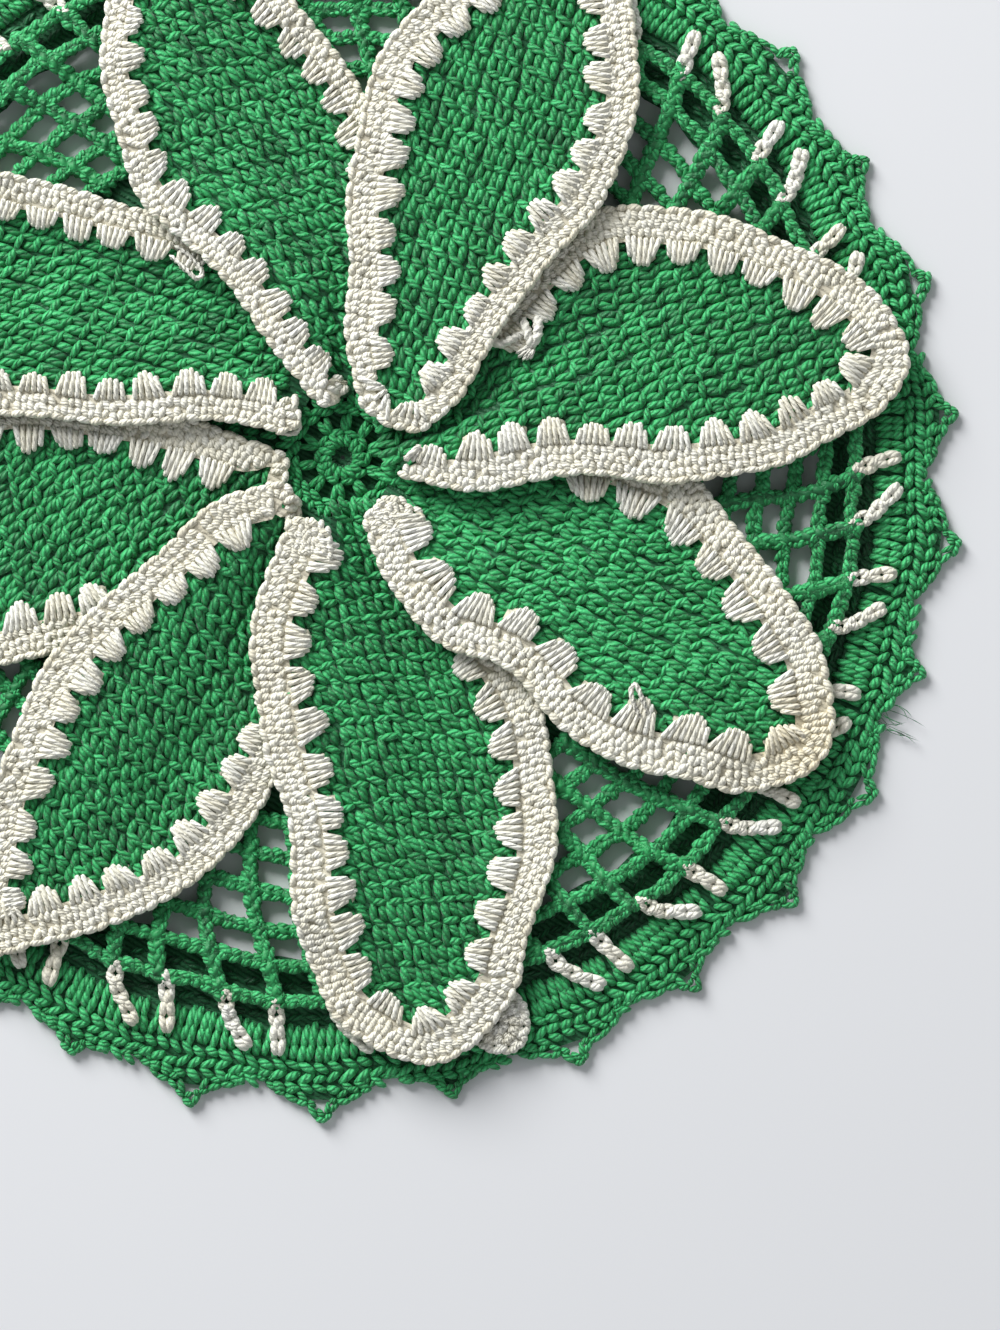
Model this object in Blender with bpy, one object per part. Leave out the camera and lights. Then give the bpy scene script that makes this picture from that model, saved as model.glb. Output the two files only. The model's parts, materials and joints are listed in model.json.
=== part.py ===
"""A round crocheted doily, 21 cm across, lying flat.

A green net ground carries a cream chain round and a scalloped green edge. Eight green petals lie on
the net, each edged with a cream border, and overlap their neighbours like the blades of a pinwheel.
Sizes below are in millimetres, and each point is turned into metres when it is placed.
"""

import math
from collections import namedtuple

import bmesh
import bpy
from mathutils import Vector

MM = 0.001
GAP = 0.3

# The outer rounds are pulled to one side, so the rosette sits off their centre, which is the origin.
ROSETTE_X, ROSETTE_Y = 3.4, 3.4
RIM_RADIUS = 100.0

# Net ground: leaning posts joined by rounds of chain, with a plain disc inside them.
POSTS = 60
POST_WIDTH = 2.5
CHAIN_WIDTH = 1.8
CHAIN_ROUNDS = (65.3, 70.7, 76.0, 81.4, 87.0)
POST_LEAN_DEGREES = 0.29
NET_THICKNESS = 1.5
CENTRE_HOLE_RADIUS = 1.2
ROSETTE_RADIUS = 7.2
ROSETTE_SKIRT_RADIUS = 8.0
ROSETTE_RISE = 1.5
DISC_RADIUS = 50.0
DISC_COLUMN_STEP = 4

# Dark ring of stitches under the last round of net, which climbs over it.
RING_INNER_RADIUS, RING_OUTER_RADIUS = 81.4, 91.0
RING_THICKNESS = 1.0
RING_SIDES = 48
CLIMB_START, CLIMB_END = 76.9, 80.5
CLIMB = RING_THICKNESS + GAP

# Cream chain that zigzags between the net and the scalloped edge.
CREAM_WIDTH = 1.6
CREAM_THICKNESS = 1.2

# Scalloped edge: each scallop is a fan with a small picot at its tip.
SCALLOPS = 30
SCALLOP_INNER_RADIUS = 94.2
SCALLOP_THICKNESS = 1.8
SCALLOP_INNER_RISE = 0.7
ScallopStep = namedtuple("ScallopStep", "share radius")
SCALLOP_STEPS = (
    ScallopStep(0.00, 99.6),
    ScallopStep(0.18, 101.6),
    ScallopStep(0.40, 103.0),
    ScallopStep(0.46, 105.0),
    ScallopStep(0.53, 105.6),
    ScallopStep(0.59, 103.0),
    ScallopStep(0.82, 101.6),
)
SCALLOP_UNEVENNESS = 1.0
CREAM_STEPS = (
    ScallopStep(0.09, 89.1),
    ScallopStep(0.17, 92.9),
    ScallopStep(0.59, 89.1),
    ScallopStep(0.90, 92.9),
)

# Petals: a green sheet each, with a cream border lying on its rim.
SHEET_THICKNESS = 1.0
BORDER_THICKNESS = 1.0
SHEET_INSET = 1.0
BORDER_ROWS_SHARE = 0.62
BORDER_LOBE_PITCH = 7.0
LOBE_STATIONS = 3
BORDER_WIDEST_SHARE = 0.42
PETAL_FLOOR = NET_THICKNESS + GAP
PETAL_LIFT = SHEET_THICKNESS + GAP + BORDER_THICKNESS + GAP
SHEET_ROWS = (18.0, 30.0, 42.0, 52.0, 62.0, 74.0, 86.0)
FLOOR_RISE_START, FLOOR_RISE_END = 62.0, 74.0
LIFT_FADE_START, LIFT_FADE_END = 62.0, 86.0
TIP_ROWS = (4.0, 1.5)
CREASE_HALF_WIDTH, CREASE_SLOPE = 1.0, 0.09
SHEET_CREASE_SHARES = (0.3, 0.7)
OUTLINE_STEPS = 10

# Half widths of a petal, left and right of its heading, at these shares of its length. Border is how far
# the lobes of the cream border reach in from the outline.
WIDTH_SHARES = (0.095, 0.19, 0.31, 0.44, 0.56, 0.69, 0.81, 0.92)
Petal = namedtuple("Petal", "name heading length tip_offset over border left right")
PETALS = (
    Petal("a", 13, 95, -3, "right", 10.0,
          (6, 12, 19, 27.5, 30.3, 26.7, 19.5, 11.5), (6, 10, 11.5, 13, 17, 18, 15.7, 13)),
    Petal("b", -31, 93, -1, "right", 10.4,
          (5, 11, 20.5, 26, 27, 22.5, 18, 12.5), (8, 15, 18, 16.3, 20, 19.5, 16.5, 13.5)),
    Petal("c", -83, 101, 1.5, "right", 10.6,
          (7, 13.5, 22.5, 27, 28.5, 26.5, 21.5, 16), (10.5, 15.5, 19.2, 18.5, 16.5, 17, 15.5, 12)),
    Petal("d", -127, 101, 2, "right", 9.4,
          (4, 11.5, 19, 23, 24.5, 23, 17.2, 10), (6, 12.5, 15.3, 18, 18, 15.8, 11, 6.5)),
    Petal("e", -165, 97, 0, "none", 9.6,
          (3, 8, 16, 19, 19.5, 18.8, 15.5, 10), (6, 12.5, 19.5, 23.5, 26, 24.5, 19, 11.5)),
    Petal("f", 153, 97, 0, "left", 8.2,
          (1, 3.5, 9.5, 15.5, 20.3, 22, 18, 11), (7.5, 14, 22, 23, 20, 17.5, 15.5, 10.5)),
    Petal("g", 110, 95, 0, "left", 7.4,
          (1, 4, 7, 12.5, 17, 16.5, 14, 9), (6, 12, 19, 24.5, 24, 21.5, 17, 10)),
    Petal("h", 65, 97, 0, "both", 9.0,
          (1.5, 8, 13.2, 18.5, 21.5, 21.5, 17.5, 11), (10.5, 14.3, 15.3, 17.5, 21.3, 21, 17, 11)),
)

GREEN = (0.020, 0.230, 0.095)
DARK_GREEN = (0.008, 0.110, 0.045)
CREAM = (0.720, 0.640, 0.520)
COTTON_ROUGHNESS = 0.75


def between(value, low, high):
    """0 at low and under, 1 at high and over, and straight between them."""
    return min(1.0, max(0.0, (value - low) / (high - low)))


def mix(first, second, share):
    return first + (second - first) * share


def cotton(name, colour):
    material = bpy.data.materials.new(name)
    material.use_nodes = True
    surface = material.node_tree.nodes["Principled BSDF"]
    surface.inputs["Base Color"].default_value = (*colour, 1.0)
    surface.inputs["Roughness"].default_value = COTTON_ROUGHNESS
    surface.inputs["Metallic"].default_value = 0.0
    return material


def crocheted(name, material, columns, rows, place, thickness, is_gap=None):
    """A closed solid from a grid of columns by rows.

    place(column, row) gives the low corner's place in millimetres, thickness(column, row) or a number
    its height, and is_gap(column, row) says which cells are open. Corners that meet are welded.
    """
    shape = bmesh.new()
    height = shape.verts.layers.float.new("height")
    bmesh.ops.create_grid(shape, x_segments=columns, y_segments=rows, size=1.0)

    def step_of(vertex):
        return round((vertex.co.x + 1) / 2 * columns), round((vertex.co.y + 1) / 2 * rows)

    if is_gap:
        corners = {face: [step_of(vertex) for vertex in face.verts] for face in shape.faces}
        gaps = [face for face, steps in corners.items() if is_gap(*map(min, *steps))]
        bmesh.ops.delete(shape, geom=gaps, context="FACES")
    for vertex in shape.verts:
        step = step_of(vertex)
        vertex.co = Vector(place(*step)) * MM
        vertex[height] = (thickness(*step) if callable(thickness) else thickness) * MM
    bmesh.ops.remove_doubles(shape, verts=shape.verts[:], dist=0.00001)
    raised = bmesh.ops.extrude_face_region(shape, geom=shape.faces[:])
    for item in raised["geom"]:
        if isinstance(item, bmesh.types.BMVert):
            item.co.z += item[height]
    bmesh.ops.recalc_face_normals(shape, faces=shape.faces[:])
    mesh = bpy.data.meshes.new(name)
    shape.to_mesh(mesh)
    shape.free()
    solid = bpy.data.objects.new(name, mesh)
    solid.data.materials.append(material)
    solid.parent = rosette_centre
    parts.objects.link(solid)
    return solid


def pulled(radius, angle):
    """A point of the ground in plan, with the outer rounds pulled away from the rosette."""
    pull = min(1.0, (radius / RIM_RADIUS) ** 2)
    return radius * math.cos(angle) - ROSETTE_X * pull, radius * math.sin(angle) - ROSETTE_Y * pull


def net_floor(radius):
    return CLIMB * between(radius, CLIMB_START, CLIMB_END)


def make_net_ground(material):
    """Rosette, plain disc and net in one piece, with the gaps of the net left open."""
    radii = [CENTRE_HOLE_RADIUS, ROSETTE_RADIUS, ROSETTE_SKIRT_RADIUS, DISC_RADIUS]
    first_chain = len(radii)
    for centre in CHAIN_ROUNDS:
        radii += [centre - CHAIN_WIDTH / 2, centre + CHAIN_WIDTH / 2]

    def place(column, row):
        if row < first_chain:
            column -= column % DISC_COLUMN_STEP
        post, side = divmod(column, 2)
        radius = radii[row]
        post_radius = radii[max(row, first_chain)]
        half = POST_WIDTH / 2 / post_radius
        lean = math.radians(POST_LEAN_DEGREES) * (post_radius - CHAIN_ROUNDS[-1])
        angle = post * math.tau / POSTS + lean + (half if side else -half)
        return *pulled(radius, angle), net_floor(radius)

    def thickness(column, row):
        return NET_THICKNESS + (ROSETTE_RISE if radii[row] <= ROSETTE_RADIUS else 0.0)

    def is_gap(column, row):
        return column % 2 == 1 and row >= first_chain and (row - first_chain) % 2 == 1

    return crocheted("net_ground", material, 2 * POSTS, len(radii) - 1, place, thickness, is_gap)


def make_backing_ring(material):
    def place(column, row):
        angle = column * math.tau / RING_SIDES
        return *pulled((RING_INNER_RADIUS, RING_OUTER_RADIUS)[row], angle), 0.0

    return crocheted("backing_ring", material, RING_SIDES, 1, place, RING_THICKNESS)


def scallop_angle(scallop, share):
    return (scallop + share) * math.tau / SCALLOPS


def make_cream_chain_round(material):
    steps = len(CREAM_STEPS)

    def place(column, row):
        scallop, step = divmod(column, steps)
        radius = CREAM_STEPS[step].radius + (row - 0.5) * CREAM_WIDTH
        return *pulled(radius, scallop_angle(scallop, CREAM_STEPS[step].share)), CLIMB

    return crocheted("cream_chain_round", material, SCALLOPS * steps, 1, place, CREAM_THICKNESS)


def make_scalloped_edge(material):
    steps = len(SCALLOP_STEPS)

    def place(column, row):
        scallop, step = divmod(column % (SCALLOPS * steps), steps)
        angle = scallop_angle(scallop, SCALLOP_STEPS[step].share)
        if row == 0:
            return *pulled(SCALLOP_INNER_RADIUS, angle), SCALLOP_INNER_RISE
        uneven = SCALLOP_UNEVENNESS * math.sin(scallop * 2.4) * (step > 0)
        return *pulled(SCALLOP_STEPS[step].radius + uneven, angle), 0.0

    return crocheted("scalloped_edge", material, SCALLOPS * steps, 1, place, SCALLOP_THICKNESS)


def smooth_through(points, steps):
    """Points along a smooth open curve through the given ones."""
    ends = [2 * points[0] - points[1], *points, 2 * points[-1] - points[-2]]
    curve = []
    for before, start, end, after in zip(ends, ends[1:], ends[2:], ends[3:]):
        for step in range(steps):
            t = step / steps
            curve.append(
                0.5 * (2 * start + (end - before) * t
                       + (2 * before - 5 * start + 4 * end - after) * t ** 2
                       + (3 * start - before - 3 * end + after) * t ** 3)
            )
    return [*curve, points[-1]]


class PetalShape:
    """A petal's outline, crease and height, with x along its heading and y to the left of it."""

    def __init__(self, petal):
        self.petal = petal
        heading = math.radians(petal.heading)
        self.along = Vector((math.cos(heading), math.sin(heading)))
        self.left = Vector((-self.along.y, self.along.x))
        right = [Vector((share * petal.length, -w)) for share, w in zip(WIDTH_SHARES, petal.right)]
        left = [Vector((share * petal.length, w)) for share, w in zip(WIDTH_SHARES, petal.left)]
        tip = Vector((petal.length, petal.tip_offset))
        self.outline = smooth_through([*right, tip, *reversed(left)], OUTLINE_STEPS)
        self.lengths = [0.0]
        for start, end in zip(self.outline, self.outline[1:]):
            self.lengths.append(self.lengths[-1] + (end - start).length)
        self.reach = max(point.x for point in self.outline)
        self.base = self.outline[0].x
        self.rows = [self.base, *SHEET_ROWS, *(self.reach - back for back in TIP_ROWS)]

    def half_width(self, distance, side):
        """How far the outline is from the heading line, on the left (side 1) or the right (side -1)."""
        points = self.outline if side < 0 else self.outline[::-1]
        distance = max(distance, points[0].x)
        for start, end in zip(points, points[1:]):
            if start.x <= distance <= end.x:
                return side * mix(start.y, end.y, between(distance, start.x, end.x))
        raise ValueError(f"petal {self.petal.name} doesn't reach {distance} mm")

    def crease(self, distance):
        """The two sides of the slope where the petal climbs onto its neighbour, at one of its rows."""
        left, right = self.half_width(distance, 1), self.half_width(distance, -1)
        depth = min(self.petal.border, BORDER_WIDEST_SHARE * (left + right))
        half = min((left + right) / 2 - depth, CREASE_HALF_WIDTH + CREASE_SLOPE * distance)
        return (left - right) / 2 - half, (left - right) / 2 + half

    def lift(self, distance, offset):
        """1 where the petal lies on its neighbour, 0 where it lies on the net."""
        if self.petal.over in ("both", "none"):
            return float(self.petal.over == "both")
        after = next((k for k, row in enumerate(self.rows) if row >= distance), len(self.rows) - 1)
        before = max(0, after - 1)
        share = between(distance, self.rows[before], self.rows[after]) if after > before else 0.0
        creases = zip(self.crease(self.rows[before]), self.crease(self.rows[after]))
        low, high = (mix(first, second, share) for first, second in creases)
        on_left = between(offset, low, high)
        return on_left if self.petal.over == "left" else 1.0 - on_left

    def floor(self, distance, offset):
        fade = 1.0 - between(distance, LIFT_FADE_START, LIFT_FADE_END)
        climb = CLIMB * between(distance, FLOOR_RISE_START, FLOOR_RISE_END)
        return PETAL_FLOOR + climb + PETAL_LIFT * fade * self.lift(distance, offset)

    def in_plan(self, distance, offset):
        return self.along * distance + self.left * offset

    def stations(self, count):
        """Evenly spaced points of the outline, each with the direction into the petal."""
        lengths = self.lengths
        found, k = [], 0
        for n in range(count + 1):
            wanted = lengths[-1] * n / count
            while k < len(lengths) - 2 and lengths[k + 1] < wanted:
                k += 1
            start, end = self.outline[k], self.outline[k + 1]
            run = (end - start).normalized()
            point = mix(start, end, between(wanted, lengths[k], lengths[k + 1]))
            found.append((point, Vector((-run.y, run.x))))
        return found


def make_petal_sheet(petal, material):
    """The green sheet of a petal: rows across its heading, with columns at its rim and its crease."""
    shape = PetalShape(petal)

    def place(column, row):
        distance = shape.rows[row]
        right = SHEET_INSET - shape.half_width(distance, -1)
        left = shape.half_width(distance, 1) - SHEET_INSET
        low, high = shape.crease(distance)
        lowest, highest = (mix(right, left, share) for share in SHEET_CREASE_SHARES)
        low, high = max(low, lowest), min(high, highest)
        offset = (right, mix(right, low, 0.5), low, high, mix(high, left, 0.5), left)[column]
        return *shape.in_plan(distance, offset), shape.floor(distance, offset)

    return crocheted(f"petal_{petal.name}", material, 5, len(shape.rows) - 1, place, SHEET_THICKNESS)


def make_petal_border(petal, material):
    """The cream border of a petal: a band along its outline with lobes on its inner side."""
    shape = PetalShape(petal)
    count = LOBE_STATIONS * round(shape.lengths[-1] / BORDER_LOBE_PITCH)
    stations = shape.stations(count)

    def place(column, row):
        point, inward = stations[column]
        if row:
            distance = min(point.x, shape.rows[-1])
            width = shape.half_width(distance, 1) + shape.half_width(distance, -1)
            depth = petal.border * (1.0 if column % LOBE_STATIONS else BORDER_ROWS_SHARE)
            if point.x < SHEET_ROWS[3]:
                depth = min(depth, BORDER_WIDEST_SHARE * width)
            point = point + inward * depth
        floor = shape.floor(point.x, point.y)
        return *shape.in_plan(*point), floor + SHEET_THICKNESS + GAP

    return crocheted(f"petal_border_{petal.name}", material, count, 1, place, BORDER_THICKNESS)


for old in list(bpy.data.objects):
    bpy.data.objects.remove(old, do_unlink=True)

parts = bpy.data.collections.new("lace_doily")
bpy.context.scene.collection.children.link(parts)
rosette_centre = bpy.data.objects.new("rosette_centre", None)
rosette_centre.location = (ROSETTE_X * MM, ROSETTE_Y * MM, 0.0)
parts.objects.link(rosette_centre)

green = cotton("green_cotton", GREEN)
dark_green = cotton("dark_green_cotton", DARK_GREEN)
cream = cotton("cream_cotton", CREAM)

make_net_ground(green)
make_backing_ring(dark_green)
make_cream_chain_round(cream)
make_scalloped_edge(green)
for one in PETALS:
    make_petal_sheet(one, green)
    make_petal_border(one, cream)
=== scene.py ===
"""A round crocheted doily, worked strand by strand.

Eight green petals with cream borders lie on a green net, inside a cream chain round and a
scalloped edge. Lengths are in millimetres from the middle of the rosette, and world() turns them
into metres in the frame.
"""

import json
import math
import random
from collections import namedtuple

import bpy
from bpy.props import FloatProperty, FloatVectorProperty, IntProperty, PointerProperty
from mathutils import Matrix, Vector

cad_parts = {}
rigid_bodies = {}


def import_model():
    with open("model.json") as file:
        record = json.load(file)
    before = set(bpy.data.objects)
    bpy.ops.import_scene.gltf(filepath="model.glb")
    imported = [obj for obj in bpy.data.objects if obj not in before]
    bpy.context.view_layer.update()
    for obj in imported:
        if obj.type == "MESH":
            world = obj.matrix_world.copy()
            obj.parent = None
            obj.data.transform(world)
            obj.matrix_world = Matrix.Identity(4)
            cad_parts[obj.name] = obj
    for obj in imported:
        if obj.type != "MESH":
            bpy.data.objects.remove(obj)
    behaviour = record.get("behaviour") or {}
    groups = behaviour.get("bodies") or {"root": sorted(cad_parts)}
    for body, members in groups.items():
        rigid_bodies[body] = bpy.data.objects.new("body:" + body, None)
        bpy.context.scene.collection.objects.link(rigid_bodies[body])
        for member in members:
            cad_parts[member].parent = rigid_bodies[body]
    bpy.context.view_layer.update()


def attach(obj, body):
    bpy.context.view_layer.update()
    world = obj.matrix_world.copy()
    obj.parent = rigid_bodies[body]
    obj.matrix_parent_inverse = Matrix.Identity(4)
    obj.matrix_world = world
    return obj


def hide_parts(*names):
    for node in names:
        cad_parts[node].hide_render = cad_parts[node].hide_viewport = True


bl_info = {
    "name": "Crocheted Doily",
    "version": (1, 0, 0),
    "blender": (4, 5, 0),
    "location": "3D Viewport > Sidebar > Doily",
    "description": "Builds a round crocheted doily with bordered petals on a net ground",
    "category": "Add Mesh",
}

for leftover in list(bpy.data.objects):
    bpy.data.objects.remove(leftover, do_unlink=True)

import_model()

MM = 0.001
GAP = 0.3
BODY = "root"

# The ground, as it was cut: the outer rounds are pulled to one side of the rosette.
ROSETTE_X, ROSETTE_Y = 3.4, 3.4
RIM_RADIUS = 100.0
POSTS = 60
CHAIN_ROUNDS = (60.0, 65.3, 70.7, 76.0, 81.4, 87.0)
POST_LEAN_DEGREES = 0.29
NET_THICKNESS = 1.5
DISC_RADIUS = 59.0
RING_INNER_RADIUS, RING_OUTER_RADIUS = 80.4, 91.2
RING_THICKNESS = 1.0
CLIMB_START, CLIMB_END = 76.9, 80.5
CLIMB = RING_THICKNESS + GAP

# How far hand work strays, growing from nothing at the first radius to all of it at the second.
STRAY, STRAY_START, STRAY_END = 0.45, 10.0, 25.0
SWELL, SWELL_START, SWELL_END = 0.55, 10.0, 30.0

SCALLOPS = 30
SCALLOP_SHEET_RADIUS = 90.8
ScallopStep = namedtuple("ScallopStep", "share radius")
SCALLOP_STEPS = (
    ScallopStep(0.00, 99.6),
    ScallopStep(0.18, 101.6),
    ScallopStep(0.40, 103.0),
    ScallopStep(0.46, 105.0),
    ScallopStep(0.53, 105.6),
    ScallopStep(0.59, 103.0),
    ScallopStep(0.82, 101.6),
)
SCALLOP_UNEVENNESS = 1.0

# Petals, as they lie on each other.
SHEET_THICKNESS = 1.0
BORDER_THICKNESS = 1.0
BORDER_WIDEST_SHARE = 0.42
PETAL_FLOOR = NET_THICKNESS + GAP
PETAL_LIFT = SHEET_THICKNESS + GAP + BORDER_THICKNESS + GAP
FLOOR_RISE_START, FLOOR_RISE_END = 62.0, 74.0
LIFT_FADE_START, LIFT_FADE_END = 62.0, 86.0
SHEET_ROWS = (18.0, 30.0, 42.0, 52.0, 62.0, 74.0, 86.0)
TIP_ROWS = (4.0, 1.5)
CREASE_HALF_WIDTH, CREASE_SLOPE = 1.0, 0.09
OUTLINE_STEPS = 10

# Borders: most of the depth is rows of short stitches, and lobes of long ones stand inside them.
BORDER_ROWS_SHARE = 0.62
RIM_STEP = 0.5
TURN_REACH = 3.0
LEAST_SQUEEZE, LEAST_SPREAD = 0.25, 0.2
BORDER_END_LENGTH = 1.8
BLUNT_ENDS = "bc"
BORDER_END = ((1.8, 6.4), (0.2, 5.0), (-0.7, 3.0), (-0.7, 1.2))
ROUND_END_REACH, ROUND_END_BULGE, ROUND_END_SHARE = 1.9, 0.5, 0.75

# Each petal: its heading in degrees, its length, how far its tip lies to the left of the heading,
# the side that lies over a neighbour, its border's depth, its widths to the left and the right at
# WIDTH_SHARES of its length, the lean of its stitches in degrees, the pitch of its border's lobes,
# where its border comes out from under a neighbour, and how much of a narrow base is border.
WIDTH_SHARES = (0.095, 0.19, 0.31, 0.44, 0.56, 0.69, 0.81, 0.92)
Petal = namedtuple("Petal", "name heading length tip_offset over border left right lean lobe "
                            "left_start right_start base_share")
PETALS = (
    Petal("a", 13, 95, -3, "right", 10.0,
          (6, 12, 19, 27.5, 30.3, 26.7, 19.5, 11.5), (6, 10, 11.5, 13, 17, 18, 15.7, 13),
          4, 6.6, 26, 0, 0.42),
    Petal("b", -31, 93, -1, "right", 10.4,
          (5, 11, 20.5, 26, 27, 22.5, 18, 12.5), (8, 15, 18, 16.3, 20, 19.5, 16.5, 13.5),
          -8, 8.2, 27.5, 0, 0.7),
    Petal("c", -83, 101, 1.5, "right", 10.6,
          (7, 13.5, 22.5, 27, 28.5, 26.5, 21.5, 16), (10.5, 15.5, 19.2, 18.5, 16.5, 17, 15.5, 12),
          15, 7.0, 27, 0, 0.7),
    Petal("d", -127, 101, 2, "right", 9.4,
          (4, 11.5, 19, 23, 24.5, 23, 17.2, 10), (6, 12.5, 15.3, 18, 18, 15.8, 11, 6.5),
          30, 6.6, 35, 0, 0.8),
    Petal("e", -165, 97, 0, "none", 9.6,
          (3, 8, 16, 19, 19.5, 18.8, 15.5, 10), (3.6, 9.8, 17, 21.6, 25, 24.5, 19, 11.5),
          25, 6.4, 33, 0, 0.8),
    Petal("f", 153, 97, 0, "left", 8.2,
          (1, 3.5, 9.5, 15.5, 20.3, 22, 18, 11), (7.5, 14, 22, 23, 20, 17.5, 15.5, 10.5),
          15, 6.2, 0, 33, 0.8),
    Petal("g", 110, 95, 0, "left", 7.4,
          (1, 4, 7, 12.5, 17, 16.5, 14, 9), (6, 12, 19, 24.5, 24, 21.5, 17, 10),
          5, 6.0, 0, 38, 0.8),
    Petal("h", 65, 97, 0, "both", 9.0,
          (1.5, 8, 13.2, 18.5, 21.5, 21.5, 17.5, 11), (10.5, 14.3, 15.3, 17.5, 21.3, 21, 17, 11),
          10, 6.3, 0, 0, 0.42),
)
STACK = "hagbfcde"  # From the top petal down.
GROUND_COVER_INSET, PETAL_COVER_INSET, COVER_STEP = 1.5, 2.2, 6


def between(value, low, high):
    """0 at low and under, 1 at high and over, and straight between them."""
    return min(1.0, max(0.0, (value - low) / (high - low)))


def mix(first, second, share):
    return first + (second - first) * share


def up(height):
    return Vector((0.0, 0.0, height))


def world(point):
    return Vector(((point[0] + ROSETTE_X) * MM, (point[1] + ROSETTE_Y) * MM, point[2] * MM))


def pulled(radius, angle):
    """A point of the ground in plan, with the outer rounds pulled away from the rosette."""
    pull = min(1.0, (radius / RIM_RADIUS) ** 2)
    return radius * math.cos(angle) - ROSETTE_X * pull, radius * math.sin(angle) - ROSETTE_Y * pull


def uneven(place):
    """How far hand work has strayed from an even shape at this place."""
    stray = Vector((math.sin(place.y / 3.9 + 1.3 * math.sin(place.x / 9.1)),
                    math.sin(place.x / 4.3 + 1.1 * math.sin(place.y / 7.7))))
    return stray * STRAY * between(place.length, STRAY_START, STRAY_END)


def swell(place):
    """How far a petal rises from an even height at this place."""
    wave = math.sin(place.x / 3.1 + 0.6 * math.sin(place.y / 4.3)) * math.sin(place.y / 2.7 + 1.0)
    return SWELL * between(place.length, SWELL_START, SWELL_END) * (1.0 + wave) / 2


def on_ground(radius, angle, height):
    place = Vector(pulled(radius, angle))
    return Vector((*(place + uneven(place)), height))


def net_floor(radius):
    return CLIMB * between(radius, CLIMB_START, CLIMB_END)


def scallop_angle(scallop, share):
    return (scallop + share) * math.tau / SCALLOPS


def smooth_through(points, steps):
    """Points along a smooth open curve through the given ones."""
    ends = [2 * points[0] - points[1], *points, 2 * points[-1] - points[-2]]
    curve = []
    for before, start, end, after in zip(ends, ends[1:], ends[2:], ends[3:]):
        for step in range(steps):
            t = step / steps
            curve.append(
                0.5 * (2 * start + (end - before) * t
                       + (2 * before - 5 * start + 4 * end - after) * t ** 2
                       + (3 * start - before - 3 * end + after) * t ** 3)
            )
    return [*curve, points[-1]]


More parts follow.
